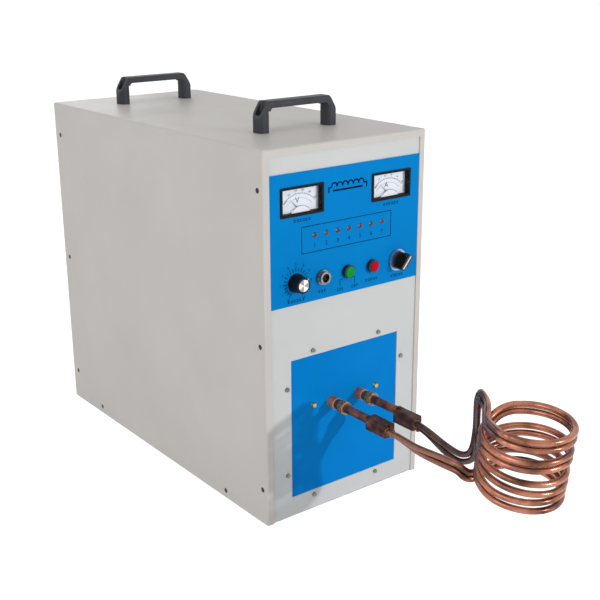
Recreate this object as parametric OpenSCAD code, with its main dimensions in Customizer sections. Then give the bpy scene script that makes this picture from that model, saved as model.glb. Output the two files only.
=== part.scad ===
// Induction heating machine: a sheet steel cabinet with a control panel, an output transformer
// behind an insulating board, and a work coil wound from a pair of water cooled copper tubes.
// Millimetres. X runs across, Y from front to back, Z up, from the middle of the cabinet's underside.

/* [Cabinet] */
// Width of the cabinet
cab_w = 270; // [266:1:290]
// Depth of the cabinet
cab_d = 572; // [565:1:620]
// Height of the cabinet
cab_h = 505; // [500:1:540]
// Thickness of the sheet steel
sheet_t = 1.5; // [1.2:0.1:1.8]
// Width of the cover's lips round the front and back panels
lip_w = 10; // [9:0.5:12]
// Radius of the cover's folds
fold_r = 3; // [2.5:0.5:4]
// Depth of the side flanges of the front and back panels
flange_d = 22; // [20:1:26]
// Height of the side flanges of the base pan
pan_side_h = 25; // [20:1:35]
// Space between neighbouring pieces that do not fit each other
gap = 0.3; // [0.25:0.05:0.35]
// Height of the equipment shelf's upper face above the floor
shelf_z = 262; // [258:1:270]
// Distance of the outer side screws from the top and the bottom edge
side_screw_in = 50; // [40:1:60]

/* [Handles] */
// Length of a handle over its legs
handle_len = 130; // [124:1:150]
// Height of a handle
handle_h = 41; // [38:1:48]
// Depth of a handle from front to back
handle_d = 22; // [20:1:26]
// Width of a handle's leg
leg_w = 17; // [16:0.5:19]
// Thickness of a handle's bar
bar_t = 9; // [8:0.5:11]
// Height at which a leg's outer slope starts
shoulder_h = 18.5; // [16:0.5:20]
// Width of a leg's outer slope
slope_w = 14; // [13:0.5:15]
// Middle of the front handle behind the cabinet's front
front_handle_in = 111; // [90:1:150]
// Middle of the back handle before the cabinet's back
rear_handle_in = 88; // [70:1:120]

/* [Control panel] */
// Height of the blue control plate
plate_h = 171; // [168:1:178]
// Thickness of the control plate
plate_t = 1.2; // [1:0.1:1.4]
// Height of the control plate's lower edge above the floor
plate_z = 301.5; // [296:0.5:304]
// Width of a meter's bezel
meter_w = 68; // [64:1:72]
// Height of a meter's bezel
meter_h = 38; // [37:1:42]
// Width of the rim round a meter's window
meter_rim = 3; // [2.5:0.5:3.5]
// Distance of a meter's middle from the middle of the panel
meter_x = 74.5; // [72:0.5:78]
// Number of indicator lamps
lamp_n = 7; // [3:1:7]
// Distance between two lamps
lamp_pitch = 18.95; // [17:0.05:20]
// Radius of a lamp's lens
lamp_r = 2.3; // [2:0.1:2.6]
// Height of the knobs and buttons above the plate's lower edge
row_z = 29.5; // [26:0.5:34]
// Distance of the power knob to the left of the middle
knob_x = 85; // [80:1:90]
// Radius of the power knob at the plate
knob_r = 12.75; // [12:0.25:14]
// Height of the power knob
knob_h = 16; // [14:0.5:20]
// Distance of the foot switch socket to the left of the middle
socket_x = 42.4; // [38:0.2:46]
// Radius of the foot switch socket's barrel
socket_r = 8.3; // [8:0.1:9]
// Radius of the foot switch socket's mouth
mouth_r = 5.8; // [5.4:0.1:6.2]
// Distance of the red button to the right of the green one in the middle
button_x = 42.2; // [38:0.2:46]
// Radius of a push button's collar
collar_r = 8.75; // [8.5:0.05:10]
// Travel of a push button
button_travel = 2.5; // [2:0.1:3]
// Distance of the selector to the right of the middle
selector_x = 88; // [84:0.5:90]
// Radius of the selector's flange
selector_r = 15; // [14:0.5:17]
// Length of the selector's grip
grip_len = 24; // [20:0.5:25]
// Height of the selector's grip
grip_h = 13; // [11:0.5:16]

/* [Output] */
// Width of the window in front of the terminal board
window_w = 186; // [176:1:188]
// Height of the window in front of the terminal board
window_h = 198; // [192:1:200]
// Thickness of the terminal board
board_t = 6; // [5:0.5:8]
// Distance of a terminal from the middle
terminal_x = 24.2; // [23:0.1:28]
// Height of the terminals above the floor
terminal_z = 151; // [146:1:156]
// Radius of the lead pipes
pipe_r = 5.9; // [5.5:0.1:6.2]
// Radius of a terminal's copper collar
terminal_r = 8; // [7.5:0.1:9]
// Distance of a brazing block's front face before the cabinet
block_reach = 114; // [110:1:130]
// Length of a brazing block
block_len = 38; // [30:1:44]

/* [Work coil] */
// Outer diameter of the copper tube
tube_d = 8; // [7.5:0.1:8]
// Radius of the top turn, to the middle of the pair
coil_top_r = 51.8; // [51:0.1:54]
// Radius of the bottom turn, to the middle of the pair
coil_low_r = 50; // [49:0.1:52]
// Distance of the coil's axis to the right of the middle
coil_x = 19.6; // [19:0.1:20.5]
// Distance of the coil's axis before the cabinet
coil_reach = 300; // [299:1:302]
// Height of the top turn over the terminals
coil_rise = 65.5; // [65:0.1:67]
// Fall of the winding over four turns
coil_fall = 95; // [94.5:0.1:98]
// Turns of the winding from the top one to the left lead
coil_turns = 3.47; // [3.45:0.01:3.48]

/* [Back] */
// Size of the fan's square frame
fan_w = 120; // [110:1:125]
// Depth of the fan's frame
fan_d = 38; // [34:1:42]
// Distance of the fan to the left of the middle, seen from behind
fan_x = 55; // [50:1:60]
// Height of the fan over the floor
fan_z = 385; // [380:1:395]
// Width of the circuit breaker
breaker_w = 54; // [50:1:56]
// Height of the circuit breaker
breaker_h = 80; // [76:1:90]
// Distance of the water fittings from the middle
water_x = 54; // [50:1:58]
// Height of the water fittings over the floor
water_z = 92; // [90:1:104]
// Radius of the water spigots
spigot_r = 5; // [4.5:0.1:5.5]
// Radius of the cable gland's bore
gland_bore_r = 6; // [5:0.5:7]

/* [Inside] */
// Width of the transformer's ferrite core
core_w = 140; // [136:1:146]
// Height of the transformer's ferrite core
core_h = 134; // [130:1:140]
// Width of the heat sink
sink_w = 160; // [140:2:170]
// Length of the heat sink
sink_len = 180; // [150:2:190]
// Radius of a filter capacitor's can
can_r = 32; // [28:1:34]
// Height of a filter capacitor's can
can_h = 110; // [90:1:120]

/* [Hidden] */
$fn = 64;
over = 1;

// Places on the panels were read on a cabinet of this width and height. They spread with the
// width, and rise by these shares of what is added to the height
drawn_w = 270;
drawn_h = 505;
spread = cab_w / drawn_w;
rise = cab_h - drawn_h;
window_rise_share = 0.09;
shelf_rise_share = 0.5;
plate_rise_share = 0.77;
fan_rise_share = 0.8;
gland_rise_share = 0.65;
front_y = -cab_d / 2;
panel_in = sheet_t + gap;
panel_y = front_y + panel_in;
panel_hw = cab_w / 2 - sheet_t - gap;
panel_z0 = sheet_t + gap;
panel_z1 = cab_h - sheet_t - gap;
inner_hw = panel_hw - sheet_t - gap;
plate_y = panel_y - plate_t;
plate_hw = cab_w / 2 - lip_w - gap;
behind = plate_t + sheet_t;
board_y = panel_y + sheet_t;
plate_foot = plate_z + plate_rise_share * rise;
shelf_top = shelf_z + shelf_rise_share * rise;
fan_at = [fan_x * spread, fan_z + fan_rise_share * rise];

// Side screws: countersunk heads in the cover, shanks through the flanges
screw_r = 2;
screw_head_r = 3.6;
screw_play = 0.1;
screw_len = 8;
front_column_in = 11;
rear_column_in = 18;
bottom_screw_in = 101;
bottom_screw_z = 11;
column_ys = [front_y + front_column_in, -front_y - rear_column_in];
column_zs = [side_screw_in, cab_h / 2, cab_h - side_screw_in];
bottom_ys = [front_y + bottom_screw_in, -front_y - bottom_screw_in];

// Base pan and shelf
pan_end_h = 12;
shelf_lip_h = 12;

// Handle details
handle_edge_r = 3.5;
handle_leg_r = 7;
handle_inner_r = 4;
pocket_w = 13;
pocket_len = 11.5;
pocket_z = 8;
pocket_r = 3.5;
handle_screw_r = 2.5;
handle_screw_head_r = 4.25;
handle_screw_head_h = 5;
handle_screw_len = 15;
handle_nut_r = 4.6;
handle_nut_h = 4;

// Meter details
meter_z_in = 36.2;
meter_proud = 1.5;
meter_corner_r = 1;
meter_depth = 34;
meter_wall = 1;
glass_play = 0.1;
ledge_w = 0.6;
dial_s = 6;
dial_t = 1;
dial_play = 0.2;
back_ledge_w = 1;
pivot_rise = 2.6;
staff_r = 0.8;
staff_play = 0.05;
staff_s = 16;
needle_s = 4.2;
needle_t = 0.5;
needle_len = 21;
needle_root_w = 1.4;
needle_hub_r = 1.6;
needle_rest = 45;
movement_s = 7.3;
movement_d = 12;
movement_w = 16;
movement_h = 9;
hump_r = 17.5;
hump_h = 8.5;
hump_s = 2.2;
hump_t = 1;
hump_post_r = 1;
hump_post_x = 12;
hump_post_rise = 2.6;

// Lamp details
lamp_x = 2.4;
lamp_z = 87.3;
lamp_green = 1;
lamp_rim_w = 1.3;
lamp_proud = 1.5;
lamp_sleeve_w = 0.55;
lamp_sleeve_s = 8;
lamp_play = 0.08;
lamp_nut_w = 1.6;
lamp_nut_t = 1.5;
lamp_dome_s = 0.4;
lamp_flange_t = 1;
lamp_leg_r = 0.25;
lamp_leg_x = 1.27;
lamp_leg_len = 8;

// Power knob and its potentiometer
shaft_r = 3;
shaft_play = 0.05;
bushing_r = 4.7;
bushing_proud = 2.6;
pot_r = 12;
pot_d = 14;
pot_nut_r = 6.5;
pot_nut_t = 2;
knob_front_share = 0.824;
knob_gap = 0.5;
knob_recess_r = 8.5;
knob_recess_d = 3.4;
knob_skirt_h = 2;
knob_flutes = 24;
knob_flute_r = 0.7;
knob_cap_r = 7.8;
knob_cap_t = 0.8;
knob_pointer_w = 0.9;
knob_pointer_d = 0.4;
knob_rest = 45;
shaft_front = 12;
shaft_tail = 9;

// Foot switch socket
socket_proud = 8;
socket_nut_w = 1.4;
socket_nut_t = 2.6;
socket_sleeve_w = 0.7;
socket_sleeve_s = 16;
socket_floor_s = 1.5;
socket_back_nut_w = 2.4;
socket_back_nut_t = 3;
pin_r = 0.9;
pin_ring_r = 2.9;
pin_play = 0.04;
pin_front = 4.4;
pin_tail = 22;
pin_n = 4;

// Push buttons and selector
collar_proud = 6.5;
collar_chamfer = 1;
cap_play = 0.08;
cap_shoulder_w = 0.4;
cap_wall = 1.85;
sleeve_w = 0.75;
sleeve_s = 24;
shoulder_s = 6;
cap_flange_t = 1.5;
cap_proud = 1.5;
cap_dome_r = 30;
stem_r = 2.5;
stem_s = 26;
stem_play = 0.5;
back_nut_w = 3;
back_nut_t = 4;
contact_w = 28;
contact_d = 30;
contact_well = 7;
selector_flange_t = 2;
selector_ring_w = 1.8;
selector_ring_h = 5;
selector_disc_play = 0.25;
selector_disc_w = 2.1;
selector_sleeve_r = 11;
selector_floor = 0.7;
selector_gap = 0.3;
grip_w = 8;
grip_end_r = 2.5;
grip_rest = 40;
selector_shaft_r = 4;

// Terminal board, terminals and leads
window_low = 28;
window_z = window_low + window_rise_share * rise;
board_lap = 14.5;
board_w = window_w + 2 * board_lap;
board_h = window_h + 2 * board_lap;
board_z = window_z + window_h / 2;
meter_at = meter_x * spread;
knob_at = knob_x * spread;
socket_at = socket_x * spread;
button_at = button_x * spread;
selector_at = selector_x * spread;
board_screw_r = 1.5;
board_head_r = 3;
board_head_h = 2.1;
board_screw_in = 7.5;
board_screw_shares = [[0.57, 1], [-0.57, 1], [0.555, -1], [-0.555, -1],
    [1, 0.575], [-1, 0.575], [1, -0.6], [-1, -0.6]];
stud_x = 55;
stud_rise = 3;
stud_r = 3.8;
stud_h = 3;
stud_shank_r = 2;
terminal_len = 13;
terminal_bore_r = 4;
terminal_chamfer = 1;
gasket_w = 1.1;
gasket_len = 9;
nut_af = 17;
nut_len = 10;
nut_chamfer = 1.2;
thread_len = 4.7;
fit_play = 0.05;
bar_w = 20;
bar_d = 4;
bar_top = 12;
bar_foot = 111;
terminal_nut_af = 19;
terminal_nut_t = 6;
block_w = 17;
block_h = 23;
block_chamfer = 2;
right_block_sink = 5;
left_block_sink = 1;
stub_r = 3.6;
stub_len = 20;
stub_in = 2.2;
stub_rise = 7;

// Rear side pieces
fan_hole_play = 3;
fan_hub_share = 0.36;
fan_spoke_w = 4;
fan_back_t = 8;
fan_shaft_r = 1.5;
fan_shaft_play = 0.05;
fan_corner_r = 5;
fan_screw_in = 7.5;
fan_screw_r = 2.15;
blade_n = 7;
blade_t = 1.6;
blade_tip_gap = 1.6;
blade_pitch = 38;
hub_front_in = 5;
guard_wire_r = 1;
guard_lift = 3.4;
guard_rings = 4;
guard_eye_r = 4.5;
guard_eye_t = 2;
breaker_x = 75;
breaker_z = 400;
breaker_d = 60;
breaker_nose_h = 45;
breaker_nose_in = 0.7;
breaker_nose_proud = 4;
drum_r = 7;
drum_play = 0.3;
drum_len = 40;
drum_pin_r = 2;
drum_pin_play = 0.06;
drum_pin_len = 3;
lever_len = 16;
lever_t = 4;
lever_rest = 30;
fitting_af = 24;
fitting_hex_t = 8;
fitting_thread_r = 7.5;
fitting_thread_s = 16;
fitting_nut_t = 5;
fitting_bore_r = 3.5;
spigot_len = 22;
spigot_chamfer = 0.8;
tail_len = 18;
tail_r = 5.5;
hose_wall = 3;
gland_z = 310;
gland_hex_af = 27;
gland_hex_t = 6;
gland_dome_r = 12;
gland_dome_len = 18;
gland_thread_r = 10;
gland_thread_s = 12;
gland_nut_t = 5;
earth_z = 234;
earth_r = 4;
earth_root_r = 3.7;
earth_len = 22;
earth_tail = 6;
earth_head_af = 13;
earth_nut_t = 6.5;
earth_washer_r = 8;
earth_washer_t = 1.6;
breaker_across = breaker_x * spread;
breaker_level = breaker_z + fan_rise_share * rise;
gland_level = gland_z + gland_rise_share * rise;
earth_level = earth_z + shelf_rise_share * rise;
slot_n = 8;
slot_w = 110;
slot_h = 5;
slot_pitch = 12;
slot_z = 120;

// Pieces inside the cabinet
core_d = 56;
limb_w = 32;
yoke_h = 27;
winding_t = 12;
winding_play = 3;
cap_w = 50;
cap_d = 60;
cap_h = 66;
cap_edge_r = 3;
cap_x = 27;
cap_y = -135;
cap_lug_r = 4;
cap_lug_h = 8;
sink_y = 10;
sink_fin_h = 40;
sink_base_t = 10;
sink_fins = 17;
sink_fin_t = 2;
module_w = 62;
module_len = 106;
module_h = 30;
module_edge_r = 2;
module_x = 38;
module_lug_r = 5;
module_lug_h = 6;
can_x = 45;
can_y = 110;
can_lug_r = 5;
can_lug_x = 14;
can_lug_h = 7;
can_rim_w = 1.2;
can_rim_h = 4;
pcb_w = 200;
pcb_d = 150;
pcb_t = 1.6;
pcb_y = -70;
pcb_lift = 12;
pcb_post_r = 3;
pcb_post_in = 8;
chip_w = 22;
chip_h = 6;
chip_pitch = 40;
iron_w = 76;
iron_d = 30;
iron_h = 64;
iron_y = 42;
bobbin_w = 40;
bobbin_d = 54;
bobbin_h = 38;

// Route of the tube pair. Shares follow the fall, the lead's run and its height
turn_steps = 24;
tube_sides = 6;
lead_steps = 4;
tilt_x_share = -0.03;
tilt_y_share = -0.135;
fall_shares = [[-0.5, -0.03], [0, 0], [0.44, 0.13], [0.48, 0.175], [0.51, 0.23], [0.54, 0.268],
    [0.57, 0.274], [0.62, 0.276], [0.75, 0.278], [1, 0.28], [1.5, 0.47], [1.62, 0.51],
    [1.75, 0.547], [2, 0.62], [2.25, 0.653], [2.5, 0.7], [2.62, 0.742], [2.75, 0.82],
    [3, 0.864], [3.25, 0.9], [3.5, 0.947], [4, 1]];
spread_shares = [[-0.3, 1.1], [0, 1.175], [0.46, 1.175], [0.5, 1.275], [0.57, 1.275], [0.7, 1.2],
    [1, 1.24], [1.5, 1.31], [2, 1.69], [2.25, 1.5], [2.5, 1.19], [2.8, 1.31], [3, 1.55],
    [3.3, 1.19], [3.6, 1.11]];
coil_start = -0.22;
lead_run = coil_reach - block_reach;
// Each row: share across, share of the lead's run, height share over the terminals, direction from
// the lower to the upper tube, distance between the two as a share of the tube
left_lead_shares = [[-1, 0, -0.053, [-0.8, 0, 0.6], 1.075], [-1, 0.043, -0.053, [-0.8, 0, 0.6], 1.075],
    [-1, 0.13, -0.07, [-0.7, 0, 0.7], 1.075], [-0.99, 0.28, -0.12, [-0.4, 0, 0.9], 1.075],
    [-0.93, 0.484, -0.115, [0, 0, 1], 1.075], [-0.806, 0.608, -0.13, [0, 0, 1], 1.075],
    [-0.372, 0.688, -0.26, [0, 0, 1], 1.075]];
right_lead_shares = [[-0.58, 0.823, 0.94, [0.1, -0.1, 1], 1.1], [-0.124, 0.761, 1, [0.2, -0.25, 1], 1.1],
    [0.51, 0.68, 1.043, [0.2, -0.2, 1], 1.1], [0.93, 0.594, 1.073, [0.2, 0.1, 1], 1.09],
    [1.15, 0.55, 1.038, [0.5, 0.5, 0.7], 1.09], [1.157, 0.534, 0.924, [0.62, 0.78, 0.1], 1.09],
    [1.145, 0.532, 0.748, [0.62, 0.78, 0], 1.09], [1.124, 0.534, 0.29, [0.62, 0.78, 0], 1.09],
    [1.095, 0.516, -0.168, [0.2, 0.85, 0.6], 1.1], [1.017, 0.43, -0.344, [0, 0.1, 1], 1.2],
    [1, 0.296, -0.321, [0, 0, 1], 1.2], [1, 0.129, -0.176, [-0.4, 0, 0.95], 1.1],
    [1, 0.043, -0.122, [-0.53, 0, 0.85], 1.08], [1, 0, -0.122, [-0.53, 0, 0.85], 1.08]];

// Helpers: a box from corner to corner, rods and cones along an axis, and outlines pushed back
module box(a, b) translate(a) cube(b - a);
module rod_y(y0, y1, r) translate([0, y1, 0]) rotate([90, 0, 0]) cylinder(h = y1 - y0, r = r);
module rod_x(x0, x1, r) translate([x0, 0, 0]) rotate([0, 90, 0]) cylinder(h = x1 - x0, r = r);
module cone_y(y0, y1, r0, r1)
    translate([0, y1, 0]) rotate([90, 0, 0]) cylinder(h = y1 - y0, r1 = r1, r2 = r0);
module tube_y(y0, y1, r, bore) difference() {
    rod_y(y0, y1, r);
    rod_y(y0 - over, y1 + over, bore);
}
module hex_y(y0, y1, af)
    translate([0, y1, 0]) rotate([90, 30, 0]) cylinder(h = y1 - y0, r = af / sqrt(3), $fn = 6);
module slab_y(y0, y1) translate([0, y1, 0]) rotate([90, 0, 0]) linear_extrude(y1 - y0) children();
module round_rect(w, h, r) {
    square([w - 2 * r, h], center = true);
    square([w, h - 2 * r], center = true);
    for (x = [-1, 1], z = [-1, 1]) translate([x * (w / 2 - r), z * (h / 2 - r)]) circle(r);
}
module top_round(w, h, r) {
    translate([-w / 2, 0]) square([w, h - r]);
    translate([r - w / 2, 0]) square([w - 2 * r, h]);
    for (x = [-1, 1]) translate([x * (w / 2 - r), h - r]) circle(r);
}
module on_plate(x, z) translate([x, plate_y, plate_foot + z]) children();
module on_board(x, z) translate([x, board_y, z]) children();
module on_rear(x, z) translate([x, -panel_y, z]) rotate([0, 0, 180]) children();

// Cover: one sheet folded over both sides and the top, with lips at the front and the back
module side_screw_places() {
    for (side = [0, 1]) mirror([side, 0, 0]) translate([cab_w / 2, 0, 0]) {
        for (y = column_ys, z = column_zs) translate([0, y, z]) children();
        for (y = bottom_ys) translate([0, y, bottom_screw_z]) children();
    }
}
module handle_places() {
    for (y = [front_y + front_handle_in, -front_y - rear_handle_in]) translate([0, y, cab_h]) children();
}
module cover() {
    color("#cfccc5") difference() {
        intersection() {
            slab_y(front_y, -front_y) top_round(cab_w, cab_h, fold_r);
            rotate([0, 0, 90]) slab_y(-cab_w / 2, cab_w / 2) top_round(cab_d, cab_h, fold_r);
            linear_extrude(cab_h) round_rect(cab_w, cab_d, fold_r);
        }
        box([sheet_t - cab_w / 2, front_y + sheet_t, -over],
            [cab_w / 2 - sheet_t, -front_y - sheet_t, cab_h - sheet_t]);
        box([lip_w - cab_w / 2, front_y - over, -over], [cab_w / 2 - lip_w, over - front_y, cab_h - lip_w]);
        side_screw_places() {
            rotate([0, 0, 90]) cone_y(0, sheet_t, screw_head_r + screw_play, screw_r + screw_play);
            rod_x(-screw_len, over, screw_r + screw_play);
        }
        handle_places() handle_screw_places()
            translate([0, 0, -sheet_t - over]) cylinder(h = sheet_t + 2 * over, r = handle_screw_r + screw_play);
    }
}
module cover_screws() {
    color("#3b3d40") side_screw_places() {
        rotate([0, 0, 90]) cone_y(0, sheet_t, screw_head_r, screw_r);
        rod_x(-screw_len, -sheet_t, screw_r);
    }
}

// Base pan: floor with turned up sides and ends
module base_pan() {
    color("#c8c9c6") difference() {
        union() {
            box([-panel_hw, panel_y, 0], [panel_hw, -panel_y, sheet_t]);
            for (side = [0, 1]) mirror([side, 0, 0])
                box([panel_hw - sheet_t, panel_y + flange_d + gap, 0],
                    [panel_hw, -panel_y - flange_d - gap, pan_side_h]);
            for (side = [0, 1]) mirror([0, side, 0])
                box([-inner_hw, board_y, 0], [inner_hw, board_y + sheet_t, pan_end_h]);
        }
        side_screw_places() rod_x(-screw_len - over, over, screw_r + screw_play);
    }
}

// Panels: a plate with side flanges and a top flange, fixed behind the cover's lips
module panel_blank() {
    box([-panel_hw, panel_y, panel_z0], [panel_hw, board_y, panel_z1]);
    box([-panel_hw, board_y, panel_z1 - sheet_t], [panel_hw, panel_y + flange_d, panel_z1]);
    for (side = [0, 1]) mirror([side, 0, 0])
        box([panel_hw - sheet_t, board_y, panel_z0], [panel_hw, panel_y + flange_d, panel_z1]);
}
module front_panel() {
    color("#cdcfcd") difference() {
        panel_blank();
        side_screw_places() rod_x(-screw_len - over, over, screw_r + screw_play);
        translate([0, 0, window_z])
            box([-window_w / 2, panel_y - over, 0], [window_w / 2, board_y + over, window_h]);
        plate_holes();
        board_screw_places() rod_y(-sheet_t - over, over, board_screw_r + screw_play);
    }
}
module rear_panel() {
    color("#cdcfcd") difference() {
        rotate([0, 0, 180]) panel_blank();
        side_screw_places() rod_x(-screw_len - over, over, screw_r + screw_play);
        on_rear(fan_at[0], fan_at[1]) {
            rod_y(-over, sheet_t + over, fan_w / 2 - fan_hole_play);
            fan_screw_places() rod_y(-over, sheet_t + over, fan_screw_r);
        }
        on_rear(-breaker_across, breaker_level) slab_y(-over, sheet_t + over)
            square([breaker_w - 2 * breaker_nose_in + 2 * gap, breaker_nose_h + 2 * gap], center = true);
        for (x = [-water_x, water_x]) on_rear(x, water_z)
            rod_y(-over, sheet_t + over, fitting_thread_r + screw_play);
        on_rear(-breaker_across, gland_level) rod_y(-over, sheet_t + over, gland_thread_r + screw_play);
        on_rear(-breaker_across, earth_level) rod_y(-over, sheet_t + over, earth_r + screw_play);
        for (i = [0:slot_n - 1]) on_rear(0, slot_z + i * slot_pitch)
            slab_y(-over, sheet_t + over) round_rect(slot_w, slot_h, slot_h / 2 - gap);
    }
}

// Shelf between the panels, carried by its turned down ends
module equipment_shelf() {
    color("#c8c9c6") {
        box([-inner_hw, board_y, shelf_top - sheet_t], [inner_hw, -board_y, shelf_top]);
        for (side = [0, 1]) mirror([0, side, 0])
            box([-inner_hw, board_y, shelf_top - sheet_t - shelf_lip_h],
                [inner_hw, board_y + sheet_t, shelf_top - sheet_t]);
    }
}

// Handles: moulded bar on two legs with a screw pocket in each outer slope
module handle_screw_places() {
    for (side = [-1, 1])
        translate([side * (handle_len / 2 - leg_w / 2), 0, 0]) children();
}
module handle_outline() difference() {
    polygon([[-handle_len / 2, 0], [-handle_len / 2, shoulder_h], [slope_w - handle_len / 2, handle_h],
        [handle_len / 2 - slope_w, handle_h], [handle_len / 2, shoulder_h], [handle_len / 2, 0]]);
    translate([0, -over]) top_round(handle_len - 2 * leg_w, handle_h - bar_t + over, handle_inner_r);
}
module handle() difference() {
    intersection() {
        slab_y(-handle_d / 2, handle_d / 2) handle_outline();
        rotate([0, 0, 90]) slab_y(-handle_len, handle_len) top_round(handle_d, handle_h, handle_edge_r);
        union() {
            for (side = [-1, 1]) translate([side * (handle_len / 2 - leg_w / 2), 0, 0])
                linear_extrude(handle_h) round_rect(leg_w, handle_d, handle_leg_r);
            box([leg_w / 2 - handle_len / 2, -handle_d / 2, handle_h - bar_t - handle_inner_r],
                [handle_len / 2 - leg_w / 2, handle_d / 2, handle_h]);
        }
    }
    handle_screw_places() {
        translate([0, 0, pocket_z]) linear_extrude(handle_h) round_rect(pocket_len, pocket_w, pocket_r);
        translate([0, 0, -over]) cylinder(h = pocket_z + 2 * over, r = handle_screw_r + screw_play);
    }
}
module front_handle() {
    color("#46484d") translate([0, front_y + front_handle_in, cab_h]) handle();
}
module rear_handle() {
    color("#46484d") translate([0, -front_y - rear_handle_in, cab_h]) handle();
}
module handle_screws() {
    color("#2c2d30") handle_places() handle_screw_places() {
        translate([0, 0, pocket_z]) difference() {
            cylinder(h = handle_screw_head_h, r = handle_screw_head_r);
            translate([0, 0, handle_screw_head_h / 2])
                cylinder(h = handle_screw_head_h, r = handle_screw_r, $fn = 6);
        }
        translate([0, 0, pocket_z - handle_screw_len]) cylinder(h = handle_screw_len, r = handle_screw_r);
        translate([0, 0, -sheet_t - handle_nut_h]) difference() {
            cylinder(h = handle_nut_h, r = handle_nut_r, $fn = 6);
            translate([0, 0, -over])
                cylinder(h = handle_nut_h + 2 * over, r = handle_screw_r + fit_play);
        }
    }
}

// Control plate and its holes, shared with the panel behind it
module plate_holes() {
    s0 = -over;
    s1 = behind + over;
    for (x = [-meter_at, meter_at]) on_plate(x, plate_h - meter_z_in)
        slab_y(s0, s1) square([body_w + 2 * gap, body_h + 2 * gap], center = true);
    lamp_places(0, lamp_n - 1) rod_y(s0, s1, lamp_r + lamp_sleeve_w + gap / 2);
    on_plate(-knob_at, row_z) rod_y(s0, s1, bushing_r + gap);
    on_plate(-socket_at, row_z) rod_y(s0, s1, socket_r - socket_sleeve_w + gap);
    for (x = [0, button_at]) on_plate(x, row_z) rod_y(s0, s1, collar_r - sleeve_w + gap);
    on_plate(selector_at, row_z) rod_y(s0, s1, selector_sleeve_r + gap);
}
module control_plate() {
    color("#0078c8") difference() {
        box([-plate_hw, plate_y, plate_foot], [plate_hw, panel_y, plate_foot + plate_h]);
        plate_holes();
    }
}

// Moving iron meters
glass_w = meter_w - 2 * meter_rim;
glass_h = meter_h - 2 * meter_rim;
body_w = glass_w + 2 * meter_wall;
body_h = glass_h + 2 * meter_wall;
well_w = glass_w - 2 * ledge_w;
well_h = glass_h - 2 * ledge_w;
pivot_z = pivot_rise - glass_h / 2;
module meter_case() difference() {
    union() {
        slab_y(-meter_proud, 0) round_rect(meter_w, meter_h, meter_corner_r);
        slab_y(0, meter_depth) square([body_w, body_h], center = true);
    }
    slab_y(-meter_proud - over, 0) square([glass_w, glass_h], center = true);
    slab_y(-over, dial_s + dial_t) square([well_w, well_h], center = true);
    difference() {
        slab_y(dial_s, meter_depth - meter_wall)
            square([well_w - 2 * back_ledge_w, well_h - 2 * back_ledge_w], center = true);
        box([-movement_w / 2, movement_s, -glass_h / 2],
            [movement_w / 2, movement_s + movement_d, movement_h - glass_h / 2]);
    }
    translate([0, 0, pivot_z]) rod_y(dial_s, staff_s + over, staff_r + staff_play);
}
module meter_dial() {
    difference() {
        slab_y(dial_s, dial_s + dial_t)
            square([well_w - 2 * dial_play, well_h - 2 * dial_play], center = true);
        translate([0, 0, pivot_z]) {
            rod_y(dial_s - over, dial_s + dial_t + over, staff_r + staff_play + gap);
            box([-staff_r - staff_play - gap, dial_s - over, -meter_h],
                [staff_r + staff_play + gap, dial_s + dial_t + over, 0]);
        }
    }
    slab_y(hump_s, hump_s + hump_t) intersection() {
        translate([0, hump_h - hump_r - glass_h / 2]) circle(hump_r);
        translate([-hump_r, dial_play - well_h / 2]) square([2 * hump_r, hump_h]);
    }
    for (x = [-hump_post_x, hump_post_x]) translate([x, 0, hump_post_rise - glass_h / 2])
        rod_y(hump_s, dial_s, hump_post_r);
}
module meter_needle() translate([0, 0, pivot_z]) rotate([0, -needle_rest, 0]) {
    slab_y(needle_s, needle_s + needle_t) {
        circle(needle_hub_r);
        polygon([[-needle_root_w / 2, 0], [0, needle_len], [needle_root_w / 2, 0]]);
    }
    rod_y(needle_s, staff_s, staff_r);
}
module meter_window() slab_y(glass_play - meter_proud, 0)
    square([glass_w - 2 * glass_play, glass_h - 2 * glass_play], center = true);
module voltmeter_case() color("#1c1d20") on_plate(-meter_at, plate_h - meter_z_in) meter_case();
module voltmeter_dial() color("#f2f2ee") on_plate(-meter_at, plate_h - meter_z_in) meter_dial();
module voltmeter_needle() color("#1a1a1a") on_plate(-meter_at, plate_h - meter_z_in) meter_needle();
module voltmeter_window() color("#dfe8ee", 0.3) on_plate(-meter_at, plate_h - meter_z_in) meter_window();
module ammeter_case() color("#1c1d20") on_plate(meter_at, plate_h - meter_z_in) meter_case();
module ammeter_dial() color("#f2f2ee") on_plate(meter_at, plate_h - meter_z_in) meter_dial();
module ammeter_needle() color("#1a1a1a") on_plate(meter_at, plate_h - meter_z_in) meter_needle();
module ammeter_window() color("#dfe8ee", 0.3) on_plate(meter_at, plate_h - meter_z_in) meter_window();

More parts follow.
